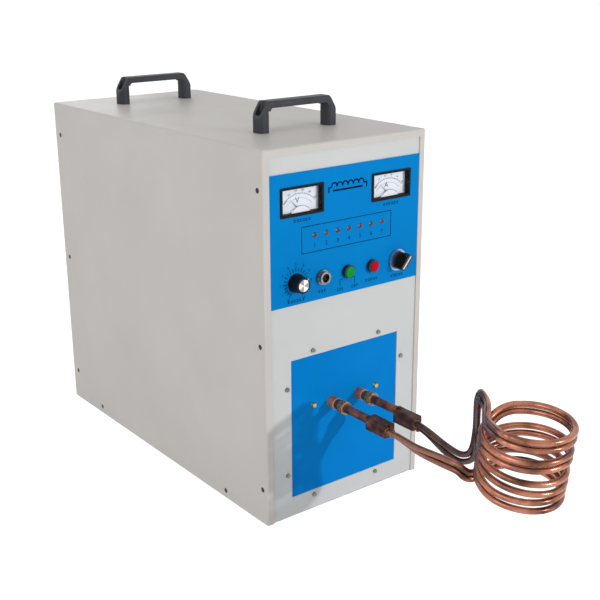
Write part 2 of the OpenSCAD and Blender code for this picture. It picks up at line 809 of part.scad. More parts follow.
// Indicator lamps: a chromed bezel and nut round each lens
module lamp_places(first, last) {
    for (i = [first:last])
        on_plate(lamp_x + (i - (lamp_n - 1) / 2) * lamp_pitch, lamp_z) children();
}
module lamp_bezels() {
    color("#c9ccd0") lamp_places(0, lamp_n - 1) {
        difference() {
            union() {
                cone_y(-lamp_proud, 0, lamp_r + lamp_sleeve_w, lamp_r + lamp_rim_w);
                rod_y(0, lamp_sleeve_s, lamp_r + lamp_sleeve_w);
            }
            rod_y(-lamp_proud - over, lamp_sleeve_s + over, lamp_r + lamp_play);
        }
        tube_y(behind, behind + lamp_nut_t, lamp_r + lamp_sleeve_w + lamp_nut_w,
            lamp_r + lamp_sleeve_w + fit_play);
    }
}
module lamp() {
    rod_y(-lamp_dome_s, lamp_sleeve_s, lamp_r);
    translate([0, -lamp_dome_s, 0]) sphere(lamp_r);
    rod_y(lamp_sleeve_s, lamp_sleeve_s + lamp_flange_t, lamp_r + lamp_sleeve_w);
    for (x = [-lamp_leg_x, lamp_leg_x]) translate([x, 0, 0])
        rod_y(lamp_sleeve_s + lamp_flange_t, lamp_sleeve_s + lamp_flange_t + lamp_leg_len, lamp_leg_r);
}
module red_lamps() {
    color("#d8331f") {
        lamp_places(0, lamp_green - 1) lamp();
        lamp_places(lamp_green + 1, lamp_n - 1) lamp();
    }
}
module green_lamp() color("#3fc25a") lamp_places(lamp_green, lamp_green) lamp();

// Power knob on a potentiometer
module potentiometer() color("#8f959b") on_plate(-knob_at, row_z) {
    difference() {
        union() {
            rod_y(-bushing_proud, behind, bushing_r);
            rod_y(behind, behind + pot_d, pot_r);
        }
        rod_y(-bushing_proud - over, behind + shaft_tail + over / 2, shaft_r + shaft_play);
    }
    difference() {
        hex_y(-pot_nut_t, 0, 2 * pot_nut_r);
        rod_y(-pot_nut_t - over, over, bushing_r + fit_play);
    }
}
module potentiometer_shaft() color("#c9ccd0") on_plate(-knob_at, row_z)
    rod_y(-knob_gap - shaft_front, behind + shaft_tail, shaft_r);
module power_knob() color("#17181b") on_plate(-knob_at, row_z) translate([0, -knob_gap, 0]) difference() {
    union() {
        rod_y(-knob_skirt_h, 0, knob_r);
        cone_y(-knob_h, -knob_skirt_h, knob_r * knob_front_share, knob_r - knob_flute_r);
    }
    rod_y(-knob_recess_d, over, knob_recess_r);
    rod_y(-shaft_front, over, shaft_r + fit_play);
    rod_y(-knob_h - over, knob_cap_t - knob_h, knob_cap_r + fit_play);
    for (i = [0:knob_flutes - 1]) rotate([0, i * 360 / knob_flutes, 0])
        translate([knob_r - knob_flute_r / 2, 0, 0]) rod_y(-knob_h - over, -knob_skirt_h, knob_flute_r);
    rotate([0, knob_rest, 0]) box([-knob_pointer_w / 2, -knob_h - over, knob_cap_r + fit_play],
        [knob_pointer_w / 2, knob_pointer_d - knob_h, knob_r]);
}
module power_knob_cap() color("#d7d9dc") on_plate(-knob_at, row_z)
    translate([0, -knob_gap - knob_h, 0]) rod_y(-knob_cap_t / 2, knob_cap_t, knob_cap_r);

// Foot switch socket with its contact pins
module pin_places() {
    for (i = [0:pin_n - 1]) rotate([0, (i + 1 / 2) * 360 / pin_n, 0])
        translate([pin_ring_r, 0, 0]) children();
}
module foot_switch_socket() color("#b9bbbe") on_plate(-socket_at, row_z) {
    difference() {
        union() {
            rod_y(-socket_proud, 0, socket_r);
            rod_y(-socket_nut_t, 0, socket_r + socket_nut_w);
            rod_y(0, socket_sleeve_s, socket_r - socket_sleeve_w);
        }
        rod_y(-socket_proud - over, -socket_floor_s, mouth_r);
        pin_places() rod_y(-socket_proud, socket_sleeve_s + over, pin_r + pin_play);
    }
    difference() {
        hex_y(behind, behind + socket_back_nut_t, 2 * (socket_r + socket_back_nut_w));
        rod_y(behind - over, behind + socket_back_nut_t + over, socket_r - socket_sleeve_w + fit_play);
    }
}
module socket_pins() color("#b8893c") on_plate(-socket_at, row_z)
    pin_places() rod_y(-pin_front, pin_tail, pin_r);

// Push buttons
cap_r = collar_r - cap_wall - cap_play;
module button_bezels() color("#1b1c1f") for (x = [0, button_at]) on_plate(x, row_z) {
    difference() {
        union() {
            cone_y(-collar_proud, collar_chamfer - collar_proud, collar_r - collar_chamfer, collar_r);
            rod_y(collar_chamfer - collar_proud, 0, collar_r);
            rod_y(0, sleeve_s, collar_r - sleeve_w);
        }
        rod_y(-collar_proud - over, shoulder_s, cap_r + cap_play);
        rod_y(shoulder_s, sleeve_s + over, cap_r + cap_play + cap_shoulder_w);
    }
    tube_y(behind, behind + back_nut_t, collar_r - sleeve_w + back_nut_w,
        collar_r - sleeve_w + fit_play);
}
module button_cap() {
    intersection() {
        rod_y(-collar_proud - cap_proud, shoulder_s + gap / 2, cap_r);
        translate([0, cap_dome_r - collar_proud - cap_proud, 0]) sphere(cap_dome_r);
    }
    rod_y(shoulder_s + gap / 2, shoulder_s + gap / 2 + cap_flange_t, cap_r + cap_shoulder_w);
    rod_y(shoulder_s + cap_flange_t, stem_s, stem_r);
}
module green_button() color("#17a34a") on_plate(0, row_z) button_cap();
module red_button() color("#cf2030") on_plate(button_at, row_z) button_cap();

// Selector switch
disc_r = selector_r - selector_ring_w - selector_disc_w;
module selector_bezel() color("#c4c7cb") on_plate(selector_at, row_z) {
    difference() {
        union() {
            rod_y(-selector_flange_t, 0, selector_r);
            rod_y(-selector_flange_t - selector_ring_h, -selector_flange_t, selector_r - selector_ring_w);
            rod_y(0, sleeve_s, selector_sleeve_r);
        }
        rod_y(-selector_flange_t - selector_ring_h - over, -selector_floor,
            disc_r + selector_disc_play);
        rod_y(-selector_floor - over, sleeve_s + over, selector_shaft_r + fit_play);
    }
    tube_y(behind, behind + back_nut_t, selector_sleeve_r + back_nut_w, selector_sleeve_r + fit_play);
}
grip_s0 = -selector_flange_t - selector_ring_h - 1 * over;
module selector_knob() color("#141518") on_plate(selector_at, row_z) rotate([0, grip_rest, 0]) {
    rod_y(grip_s0, -selector_floor - selector_gap, disc_r);
    difference() {
        slab_y(grip_s0 - grip_h, grip_s0) round_rect(grip_w, grip_len, grip_end_r);
        for (side = [0, 1]) mirror([side, 0, 0])
            translate([grip_w / 2, grip_s0 - grip_h, 0]) rotate([0, 0, 12])
                box([0, -over, -grip_len], [grip_w, grip_h - over, grip_len]);
    }
    rod_y(-selector_floor - selector_gap, stem_s, selector_shaft_r);
}

// Contact blocks behind the buttons and the selector
module contact_blocks() color("#3a3c40") for (x = [0, button_at, selector_at]) on_plate(x, row_z)
    difference() {
        slab_y(sleeve_s, sleeve_s + contact_d) round_rect(contact_w, contact_w, over);
        rod_y(sleeve_s - over, sleeve_s + contact_well, selector_shaft_r + stem_play);
    }

// Terminal board with its screws and brass studs
module board_screw_places() {
    for (s = board_screw_shares)
        on_board(s[0] * (board_w / 2 - board_screw_in), board_z + s[1] * (board_h / 2 - board_screw_in))
            children();
}
module terminal_board() color("#0078c8") difference() {
    on_board(0, board_z) slab_y(0, board_t) square([board_w, board_h], center = true);
    board_screw_places() rod_y(-over, board_t + over, board_screw_r + screw_play);
    for (x = [-terminal_x, terminal_x]) on_board(x, terminal_z)
        rod_y(-over, board_t + over, pipe_r + gap);
    for (x = [-stud_x, stud_x]) on_board(x, terminal_z + stud_rise)
        rod_y(-over, board_t + over, stud_shank_r + screw_play);
}
module board_screws() color("#8e9298") board_screw_places() {
    rod_y(-sheet_t - board_head_h, -sheet_t, board_head_r);
    rod_y(-sheet_t, board_t + board_head_h, board_screw_r);
}
module board_studs() color("#c9a03a") for (x = [-stud_x, stud_x]) on_board(x, terminal_z + stud_rise) {
    cone_y(-stud_h, 0, stud_r - stud_h / 3, stud_r);
    rod_y(0, board_t + stud_h, stud_shank_r);
}

// Terminals, gaskets, union nuts, pipes and brazing blocks
gasket_t0 = terminal_len;
nut_t0 = terminal_len + gasket_len;
pipe_t0 = nut_t0 + thread_len + gap;
pipe_t1 = block_reach - block_len + board_y - front_y;
module terminal_pair() for (x = [-terminal_x, terminal_x]) on_board(x, terminal_z) children();
module terminals() color("#b5714f") terminal_pair() {
    difference() {
        union() {
            cone_y(-terminal_len, terminal_chamfer - terminal_len, terminal_r - terminal_chamfer, terminal_r);
            rod_y(terminal_chamfer - terminal_len, 0, terminal_r);
            rod_y(-nut_t0 - thread_len, board_t + bar_d + terminal_nut_t + gap, pipe_r);
        }
        rod_y(-nut_t0 - thread_len - over, board_t + bar_d + terminal_nut_t + over, terminal_bore_r);
    }
    difference() {
        hex_y(board_t + bar_d, board_t + bar_d + terminal_nut_t, terminal_nut_af);
        rod_y(board_t, board_t + bar_d + terminal_nut_t + over, pipe_r + fit_play);
    }
}
module terminal_gaskets() color("#3a3330") terminal_pair()
    tube_y(-nut_t0, -gasket_t0, pipe_r + gasket_w, pipe_r + fit_play);
module union_nuts() color("#b08a45") terminal_pair() difference() {
    intersection() {
        hex_y(-nut_t0 - nut_len, -nut_t0, nut_af);
        union() {
            cone_y(-nut_t0 - nut_len, nut_chamfer - nut_t0 - nut_len, nut_af / 2 - nut_chamfer / 2,
                nut_af / sqrt(3));
            rod_y(nut_chamfer - nut_t0 - nut_len, -nut_t0, nut_af / sqrt(3));
        }
    }
    rod_y(-nut_t0 - nut_len - over, over - nut_t0, pipe_r + fit_play);
}
module lead_pipes() color("#a4664a") terminal_pair() tube_y(-pipe_t1, -pipe_t0, pipe_r, terminal_bore_r);
module block_body() {
    intersection() {
        slab_y(-block_len, 0) square([block_w, block_h], center = true);
        rotate([0, 0, 90]) slab_y(-block_w, block_w) polygon([
            [-block_len, -block_h / 2], [-block_len, block_h / 2 - block_chamfer],
            [block_chamfer - block_len, block_h / 2], [-block_chamfer, block_h / 2],
            [0, block_h / 2 - block_chamfer], [0, -block_h / 2]]);
    }
}
module brazing_blocks() color("#6b4438") {
    translate([-terminal_x, front_y - block_reach + block_len, terminal_z - left_block_sink]) block_body();
    translate([terminal_x, front_y - block_reach + block_len, terminal_z - right_block_sink]) block_body();
    translate([stub_in - terminal_x, front_y - block_reach, terminal_z - left_block_sink + stub_rise])
        rod_y(-stub_len, 0, stub_r);
}

// Work coil: a pair of tubes led from the right block, over the top, round and back to the left
function unit(v) = v / norm(v);
tilt = unit([tilt_x_share, tilt_y_share, 1]);
across = unit([1, 0, -tilt_x_share]);
forth = cross(tilt, across);
coil_top = [coil_x, front_y - coil_reach, terminal_z + coil_rise];
function wind(t) = coil_top - tilt * coil_fall * lookup(t, fall_shares)
    + (coil_top_r + (coil_low_r - coil_top_r) * t / 4)
    * (cos(270 + 360 * t) * across + sin(270 + 360 * t) * forth);
function lead_row(s) = concat([s[0] * terminal_x, front_y - block_reach - s[1] * lead_run,
    terminal_z + s[2] * coil_rise], unit(s[3]) * s[4] * tube_d);
turn_n = round((coil_turns - coil_start) * turn_steps);
route = concat([for (s = left_lead_shares) lead_row(s)],
    [for (i = [0:turn_n]) let (t = coil_turns - i / turn_steps)
        concat(wind(t), tilt * lookup(t, spread_shares) * tube_d)],
    [for (s = right_lead_shares) lead_row(s)]);
route_n = len(route);
left_n = len(left_lead_shares);
function steps_in(i) = (i == 0 || i == route_n - 2) ? 1
    : (i >= left_n && i < left_n + turn_n) ? 1 : lead_steps;
function blend(a, b, c, d, t) = ((2 * b) + (c - a) * t + (2 * a - 5 * b + 4 * c - d) * t * t
    + (3 * b - a - 3 * c + d) * t * t * t) / 2;
function route_at(i, t) = blend(route[max(i - 1, 0)], route[i], route[i + 1],
    route[min(i + 2, route_n - 1)], t);
middle = concat([for (i = [0:route_n - 2], k = [0:steps_in(i) - 1]) route_at(i, k / steps_in(i))],
    [route[route_n - 1]]);
function heading(line, i) = unit(line[min(i + 1, len(line) - 1)] - line[max(i - 1, 0)]);
function square_to(v, h) = unit(v - h * (v * h));
track = [for (p = middle) [p[0], p[1], p[2]]];
ways = [for (i = [0:len(middle) - 1]) let (p = middle[i], v = [p[3], p[4], p[5]])
    square_to(v, heading(track, i)) * norm(v)];
upper_line = track + ways / 2;
lower_line = track - ways / 2;
module swept_tube(line) {
    n = len(line);
    rings = [for (i = [0:n - 1]) let (h = heading(line, i), u = square_to(ways[i], h),
        v = cross(h, u)) for (k = [0:tube_sides - 1]) let (a = (k + 1 / 2) * 360 / tube_sides)
        line[i] + (cos(a) * u + sin(a) * v) * tube_d / 2];
    m = tube_sides;
    walls = [for (i = [0:n - 2], k = [0:m - 1]) let (a = i * m + k, b = i * m + (k + 1) % m)
        each [[a, a + m, b + m], [a, b + m, b]]];
    ends = [for (k = [1:m - 2]) each [[0, k, k + 1],
        [(n - 1) * m, (n - 1) * m + k + 1, (n - 1) * m + k]]];
    polyhedron(rings, concat(walls, ends));
}
function near(a, b, apart) = min([for (i = [0:len(a) - 1], j = [0:len(b) - 1])
    if (abs(i - j) >= apart) norm(a[i] - b[j])]);
echo(least_gap = min(near(upper_line, lower_line, 0), near(upper_line, upper_line, 8),
    near(lower_line, lower_line, 8)) - tube_d);
module coil_tube_upper() color("#b0694a") swept_tube(upper_line);
module coil_tube_lower() color("#a9644a") swept_tube(lower_line);

// Fan with its rotor and guard
hub_r = fan_w / 2 * fan_hub_share;
fan_bore_r = fan_w / 2 - fan_hole_play;
module fan_screw_places() {
    for (x = [-1, 1], z = [-1, 1])
        translate([x * (fan_w / 2 - fan_screw_in), 0, z * (fan_w / 2 - fan_screw_in)]) children();
}
module fan_housing() color("#232427") on_rear(fan_at[0], fan_at[1]) translate([0, sheet_t, 0]) {
    difference() {
        slab_y(0, fan_d) round_rect(fan_w, fan_w, fan_corner_r);
        rod_y(-over, fan_d + over, fan_bore_r);
        fan_screw_places() rod_y(-over, fan_d + over, fan_screw_r);
    }
    difference() {
        union() {
            rod_y(fan_d - fan_back_t, fan_d, hub_r);
            for (a = [45, 135]) rotate([0, a, 0])
                box([-fan_bore_r - over, fan_d - fan_back_t / 2, -fan_spoke_w / 2],
                    [fan_bore_r + over, fan_d, fan_spoke_w / 2]);
        }
        rod_y(fan_d - fan_back_t - over, fan_d - over, fan_shaft_r + fan_shaft_play);
    }
}
module fan_rotor() color("#2b2c30") on_rear(fan_at[0], fan_at[1]) translate([0, sheet_t, 0]) {
    hub_s1 = fan_d - fan_back_t - 2 * gap;
    rod_y(hub_front_in, hub_s1, hub_r);
    rod_y(hub_s1, fan_d - 2 * over, fan_shaft_r);
    intersection() {
        rod_y(hub_front_in, hub_s1, fan_bore_r - blade_tip_gap);
        for (i = [0:blade_n - 1]) rotate([0, i * 360 / blade_n, 0])
            translate([0, (hub_front_in + hub_s1) / 2, hub_r / 2]) rotate([0, 0, blade_pitch])
                box([-blade_t / 2, -fan_d, 0], [blade_t / 2, fan_d, fan_bore_r]);
    }
}
module fan_guard() color("#b6b9bd") on_rear(fan_at[0], fan_at[1]) {
    for (a = [45, 135]) rotate([0, a, 0])
        translate([0, -guard_lift, 0]) rod_x(-(fan_w / 2 - fan_screw_in) * sqrt(2),
            (fan_w / 2 - fan_screw_in) * sqrt(2), guard_wire_r);
    for (i = [1:guard_rings]) translate([0, -guard_lift - guard_wire_r, 0]) rotate([90, 0, 0])
        rotate_extrude() translate([i * fan_bore_r / guard_rings - guard_wire_r, 0]) circle(guard_wire_r);
    fan_screw_places() {
        tube_y(-guard_eye_t, 0, guard_eye_r, fan_screw_r - fit_play);
        tube_y(-guard_lift, -guard_eye_t, guard_eye_r, fan_screw_r - fit_play);
        rod_y(-guard_lift - 2 * guard_wire_r, -guard_lift, guard_eye_r);
        rod_y(-guard_lift, fan_d, fan_screw_r - screw_play);
    }
}

// Circuit breaker with its lever
module breaker() color("#e4e4df") on_rear(-breaker_across, breaker_level) difference() {
    union() {
        slab_y(-breaker_nose_proud, sheet_t)
            square([breaker_w - 2 * breaker_nose_in, breaker_nose_h], center = true);
        slab_y(sheet_t, breaker_d) square([breaker_w, breaker_h], center = true);
    }
    rod_x(-drum_len / 2 - gap, drum_len / 2 + gap, drum_r + drum_play);
    rod_x(-drum_len / 2 - drum_pin_len - gap, drum_len / 2 + drum_pin_len + gap,
        drum_pin_r + drum_pin_play);
}
module breaker_lever() color("#1f2226") on_rear(-breaker_across, breaker_level) {
    rod_x(-drum_len / 2, drum_len / 2, drum_r);
    rod_x(-drum_len / 2 - drum_pin_len, drum_len / 2 + drum_pin_len, drum_pin_r);
    rotate([lever_rest, 0, 0])
        box([-drum_len / 2, -lever_len, -lever_t / 2], [drum_len / 2, 0, lever_t / 2]);
}

// Water fittings with the hoses inside
module water_fittings() color("#b8923f") for (x = [-water_x, water_x]) on_rear(x, water_z) {
    difference() {
        union() {
            cone_y(-fitting_hex_t - spigot_len, spigot_chamfer - fitting_hex_t - spigot_len,
                spigot_r - spigot_chamfer, spigot_r);
            rod_y(spigot_chamfer - fitting_hex_t - spigot_len, -fitting_hex_t, spigot_r);
            hex_y(-fitting_hex_t, 0, fitting_af);
            rod_y(0, fitting_thread_s, fitting_thread_r);
            rod_y(fitting_thread_s, fitting_thread_s + tail_len, tail_r);
        }
        rod_y(-fitting_hex_t - spigot_len - over, fitting_thread_s + tail_len + over, fitting_bore_r);
    }
    difference() {
        hex_y(sheet_t, sheet_t + fitting_nut_t, fitting_af);
        rod_y(0, sheet_t + fitting_nut_t + over, fitting_thread_r + fit_play);
    }
}
winding_y = board_y + board_t + bar_d + winding_t + core_d / 2;
winding_h = core_h - 2 * (yoke_h + winding_play);
module water_hoses() color("#2f5fa8") for (x = [-water_x, water_x]) translate([x, 0, water_z])
    tube_y(winding_y + core_d / 2 + winding_t + gap, -panel_y - fitting_thread_s - gap,
        tail_r + hose_wall, tail_r + fit_play);

// Cable gland and earth stud
module cable_gland() color("#34363a") on_rear(-breaker_across, gland_level) {
    difference() {
        union() {
            cone_y(-gland_hex_t - gland_dome_len, -gland_hex_t, gland_dome_r - spigot_chamfer, gland_dome_r);
            hex_y(-gland_hex_t, 0, gland_hex_af);
            rod_y(0, gland_thread_s, gland_thread_r);
        }
        rod_y(-gland_hex_t - gland_dome_len - over, gland_thread_s + over, gland_bore_r);
    }
    difference() {
        hex_y(sheet_t, sheet_t + gland_nut_t, gland_hex_af);
        rod_y(0, sheet_t + gland_nut_t + over, gland_thread_r + fit_play);
    }
}
module earth_stud() color("#c0a050") on_rear(-breaker_across, earth_level) {
    rod_y(-earth_len, -earth_washer_t - earth_nut_t, earth_r);
    rod_y(-earth_washer_t - earth_nut_t - over, sheet_t + earth_tail, earth_root_r);
    hex_y(sheet_t, sheet_t + earth_tail, earth_head_af);
    tube_y(-earth_washer_t, 0, earth_washer_r, earth_root_r + fit_play);
    difference() {
        hex_y(-earth_washer_t - earth_nut_t, -earth_washer_t, earth_head_af);
        rod_y(-earth_len, 0, earth_root_r + fit_play);
    }
}

// Output transformer behind the board
module transformer_core() color("#34353a") translate([0, winding_y, sheet_t]) difference() {
    box([-core_w / 2, -core_d / 2, 0], [core_w / 2, core_d / 2, core_h]);
    box([limb_w - core_w / 2, -core_d, yoke_h], [core_w / 2 - limb_w, core_d, core_h - yoke_h]);
}
module transformer_windings() color("#b5714f") {
    for (x = [-1, 1]) translate([x * (core_w / 2 - limb_w / 2), winding_y, sheet_t + yoke_h])
        difference() {
            linear_extrude(winding_h)
                round_rect(limb_w + 2 * winding_t, core_d + 2 * winding_t, winding_t / 2);
            translate([0, 0, -over]) linear_extrude(winding_h + 2 * over)
                square([limb_w + 2 * gap, core_d + 2 * gap], center = true);
        }
    for (x = [-terminal_x, terminal_x]) on_board(x, terminal_z) difference() {
        box([-bar_w / 2, board_t, -bar_foot], [bar_w / 2, board_t + bar_d, bar_top]);
        rod_y(0, board_t + bar_d + over, pipe_r + fit_play);
    }
}

// Resonance capacitors, heat sink and power modules on the base pan
module resonance_capacitors() color("#d9dadb")
    for (x = [-3, -1, 1, 3]) translate([x * cap_x, cap_y, sheet_t]) {
        linear_extrude(cap_h) round_rect(cap_w, cap_d, cap_edge_r);
        for (y = [-1, 1]) translate([0, y * cap_d / 4, cap_h]) cylinder(h = cap_lug_h, r = cap_lug_r);
    }
module heat_sink() color("#b4b8bc") translate([0, sink_y, sheet_t]) {
    box([-sink_w / 2, -sink_len / 2, sink_fin_h], [sink_w / 2, sink_len / 2, sink_fin_h + sink_base_t]);
    for (i = [0:sink_fins - 1])
        translate([(i / (sink_fins - 1) - 1 / 2) * (sink_w - sink_fin_t) - sink_fin_t / 2, 0, 0])
            box([0, -sink_len / 2, 0], [sink_fin_t, sink_len / 2, sink_fin_h]);
}
module power_modules() color("#2a2b2f") for (x = [-module_x, module_x])
    translate([x, sink_y, sheet_t + sink_fin_h + sink_base_t]) {
        linear_extrude(module_h) round_rect(module_w, module_len, module_edge_r);
        for (y = [-1, 0, 1]) translate([0, y * module_len / 4, module_h])
            cylinder(h = module_lug_h, r = module_lug_r);
    }

// Filter capacitors, control board and control transformer on the shelf
module filter_capacitors() color("#3a6f9f") for (x = [-can_x, can_x]) translate([x, can_y, shelf_top]) {
    cylinder(h = can_h, r = can_r);
    translate([0, 0, can_h]) difference() {
        cylinder(h = can_rim_h, r = can_r - can_rim_w);
        translate([0, 0, can_rim_h / 2]) cylinder(h = can_rim_h, r = can_r - 2 * can_rim_w);
    }
    for (side = [-can_lug_x, can_lug_x]) translate([side, 0, can_h])
        cylinder(h = can_lug_h, r = can_lug_r);
}
module control_board() color("#1f6b3a") translate([0, pcb_y, shelf_top]) {
    box([-pcb_w / 2, -pcb_d / 2, pcb_lift], [pcb_w / 2, pcb_d / 2, pcb_lift + pcb_t]);
    for (x = [-1, 1], y = [-1, 1])
        translate([x * (pcb_w / 2 - pcb_post_in), y * (pcb_d / 2 - pcb_post_in), 0])
            cylinder(h = pcb_lift, r = pcb_post_r);
    for (x = [-2:2], y = [-1:1]) translate([x * chip_pitch, y * chip_pitch, pcb_lift + pcb_t])
        box([-chip_w / 2, -chip_w / 4, 0], [chip_w / 2, chip_w / 4, chip_h]);
}
module control_transformer() color("#6d7278") translate([0, iron_y, shelf_top]) {
    box([-iron_w / 2, -iron_d / 2, 0], [iron_w / 2, iron_d / 2, iron_h]);
    box([-bobbin_w / 2, -bobbin_d / 2, iron_h / 2 - bobbin_h / 2],
        [bobbin_w / 2, bobbin_d / 2, iron_h / 2 + bobbin_h / 2]);
}

cover();
base_pan();
front_panel();
rear_panel();
equipment_shelf();
front_handle();
rear_handle();
handle_screws();
cover_screws();
control_plate();
terminal_board();
board_screws();
board_studs();
voltmeter_case();
voltmeter_dial();
voltmeter_needle();
voltmeter_window();
ammeter_case();
ammeter_dial();
ammeter_needle();
ammeter_window();
lamp_bezels();
red_lamps();
green_lamp();
potentiometer();
potentiometer_shaft();
power_knob();
power_knob_cap();
foot_switch_socket();
socket_pins();
button_bezels();
green_button();
red_button();
selector_bezel();
selector_knob();
contact_blocks();
terminals();
terminal_gaskets();
union_nuts();
lead_pipes();
brazing_blocks();
coil_tube_upper();
coil_tube_lower();
fan_housing();
fan_rotor();
fan_guard();
breaker();
breaker_lever();
water_fittings();
cable_gland();
earth_stud();
transformer_core();
transformer_windings();
resonance_capacitors();
heat_sink();
power_modules();
filter_capacitors();
control_board();
control_transformer();
water_hoses();
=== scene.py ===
import bpy
import math
import random
from mathutils import Matrix, Vector


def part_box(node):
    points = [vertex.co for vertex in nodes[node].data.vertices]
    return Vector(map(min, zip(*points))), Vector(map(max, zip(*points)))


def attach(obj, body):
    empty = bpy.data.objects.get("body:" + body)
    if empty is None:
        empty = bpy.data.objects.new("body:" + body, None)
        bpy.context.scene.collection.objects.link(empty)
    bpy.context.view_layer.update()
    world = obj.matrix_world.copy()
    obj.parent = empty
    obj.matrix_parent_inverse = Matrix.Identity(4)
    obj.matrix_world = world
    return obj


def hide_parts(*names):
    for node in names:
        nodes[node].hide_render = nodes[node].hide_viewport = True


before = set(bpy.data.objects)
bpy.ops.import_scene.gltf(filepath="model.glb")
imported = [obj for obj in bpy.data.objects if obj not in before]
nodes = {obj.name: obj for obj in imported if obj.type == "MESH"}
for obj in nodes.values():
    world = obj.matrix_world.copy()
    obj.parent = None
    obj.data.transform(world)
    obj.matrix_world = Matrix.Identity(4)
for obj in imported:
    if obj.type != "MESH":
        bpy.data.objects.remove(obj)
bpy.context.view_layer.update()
MM = 0.001


# Studio: a pale floor that runs into a white background, a small lamp at the front right that
# throws the coil's shadow on the panel, broad lamps at the left and behind, and the photo's camera.
def tone(red, green, blue):
    """A colour as a screen shows it, 0 to 255, turned into Blender's linear values."""
    linear = [c / 12.92 if c <= 0.04045 else ((c + 0.055) / 1.055) ** 2.4
              for c in (red / 255, green / 255, blue / 255)]
    return (*linear, 1.0)


def new_material(name):
    material = bpy.data.materials.new(name)
    material.use_nodes = True
    return material, material.node_tree.nodes, material.node_tree.links


def set_shader(material, **values):
    """Sets inputs of a material's shader, named in small letters, such as metallic=0.5."""
    shader = material.node_tree.nodes["Principled BSDF"]
    titles = {"specular": "Specular IOR Level", "glow_colour": "Emission Color",
              "glow": "Emission Strength"}
    for name, value in values.items():
        shader.inputs[titles.get(name, name.capitalize())].default_value = value


def seen_directly(node_list, link_list):
    """1 where the camera, a reflection or a glass looks at the surface, 0 where it only lights."""
    path = node_list.new("ShaderNodeLightPath")
    first = node_list.new("ShaderNodeMath")
    first.operation = "MAXIMUM"
    second = node_list.new("ShaderNodeMath")
    second.operation = "MAXIMUM"
    link_list.new(path.outputs["Is Camera Ray"], first.inputs[0])
    link_list.new(path.outputs["Is Glossy Ray"], first.inputs[1])
    link_list.new(first.outputs[0], second.inputs[0])
    link_list.new(path.outputs["Is Transmission Ray"], second.inputs[1])
    return second.outputs[0]


scene = bpy.context.scene
scene.view_settings.view_transform = "Standard"
world = bpy.data.worlds.new("studio_air")
world.use_nodes = True
scene.world = world
air = world.node_tree
air_light = air.nodes["Background"]
air_light.inputs["Color"].default_value = (0.97, 0.98, 1.0, 1.0)
air_light.inputs["Strength"].default_value = 0.53
air_white = air.nodes.new("ShaderNodeBackground")
air_white.inputs["Color"].default_value = (1, 1, 1, 1)
air_white.inputs["Strength"].default_value = 1.0
air_mix = air.nodes.new("ShaderNodeMixShader")
air.links.new(seen_directly(air.nodes, air.links), air_mix.inputs["Fac"])
air.links.new(air_light.outputs[0], air_mix.inputs[1])
air.links.new(air_white.outputs[0], air_mix.inputs[2])
air.links.new(air_mix.outputs[0], air.nodes["World Output"].inputs["Surface"])

bpy.ops.object.select_all(action="DESELECT")
bpy.ops.mesh.primitive_plane_add(size=24)
floor = bpy.context.object
floor.name = "studio_floor"
floor_paint, floor_nodes, floor_links = new_material("pale_floor")
floor_shader = floor_nodes["Principled BSDF"]
floor_shader.inputs["Base Color"].default_value = (0.86, 0.86, 0.86, 1)
floor_shader.inputs["Roughness"].default_value = 0.9
floor_glow = floor_nodes.new("ShaderNodeEmission")
floor_glow.inputs["Color"].default_value = (1, 1, 1, 1)
floor_add = floor_nodes.new("ShaderNodeAddShader")
glow_share = floor_nodes.new("ShaderNodeMath")
glow_share.operation = "MULTIPLY"
glow_share.inputs[1].default_value = 0.62
floor_links.new(seen_directly(floor_nodes, floor_links), glow_share.inputs[0])
floor_links.new(glow_share.outputs[0], floor_glow.inputs["Strength"])
floor_links.new(floor_shader.outputs[0], floor_add.inputs[0])
floor_links.new(floor_glow.outputs[0], floor_add.inputs[1])
floor_links.new(floor_add.outputs[0], floor_nodes["Material Output"].inputs["Surface"])
floor.data.materials.append(floor_paint)

for lamp_name, place, aim, size, power in (
        ("front_right_lamp", (0.93, -2.62, 0.88), (0, -0.29, 0.15), 0.07, 23.0),
        ("left_lamp", (-2.60, -0.90, 1.30), (0, 0, 0.25), 1.6, 19.0),
        ("back_lamp", (0.6, 2.60, 1.10), (0, 0, 0.25), 1.4, 9.0)):
    bpy.ops.object.light_add(type="AREA", location=place)
    lamp = bpy.context.object
    lamp.name = lamp_name
    lamp.data.size = size
    lamp.data.energy = power
    lamp.rotation_euler = (Vector(aim) - Vector(place)).to_track_quat("-Z", "Y").to_euler()

camera_turn = math.radians(-37.51)
camera_tilt = math.radians(18.12)
camera_roll = math.radians(-0.36)
camera_place = (-0.85457, -1.29624, 0.72397)
photo_width_px, focal_length_px, sensor_width_mm = 600, 1049.46, 36
camera_back = Vector((math.sin(camera_turn) * math.cos(camera_tilt),
                      -math.cos(camera_turn) * math.cos(camera_tilt), math.sin(camera_tilt)))
level_right = (-camera_back).cross(Vector((0, 0, 1))).normalized()
level_up = level_right.cross(-camera_back)
camera_right = math.cos(camera_roll) * level_right + math.sin(camera_roll) * level_up
camera_up = -math.sin(camera_roll) * level_right + math.cos(camera_roll) * level_up
bpy.ops.object.camera_add()
camera = bpy.context.object
camera.name = "photo_camera"
camera.data.lens = focal_length_px / photo_width_px * sensor_width_mm
camera.data.sensor_width = sensor_width_mm
camera.data.clip_start = 0.05
camera.data.clip_end = 60
camera.matrix_world = Matrix.Translation(camera_place) @ Matrix(
    (camera_right, camera_up, camera_back)).transposed().to_4x4()
scene.camera = camera


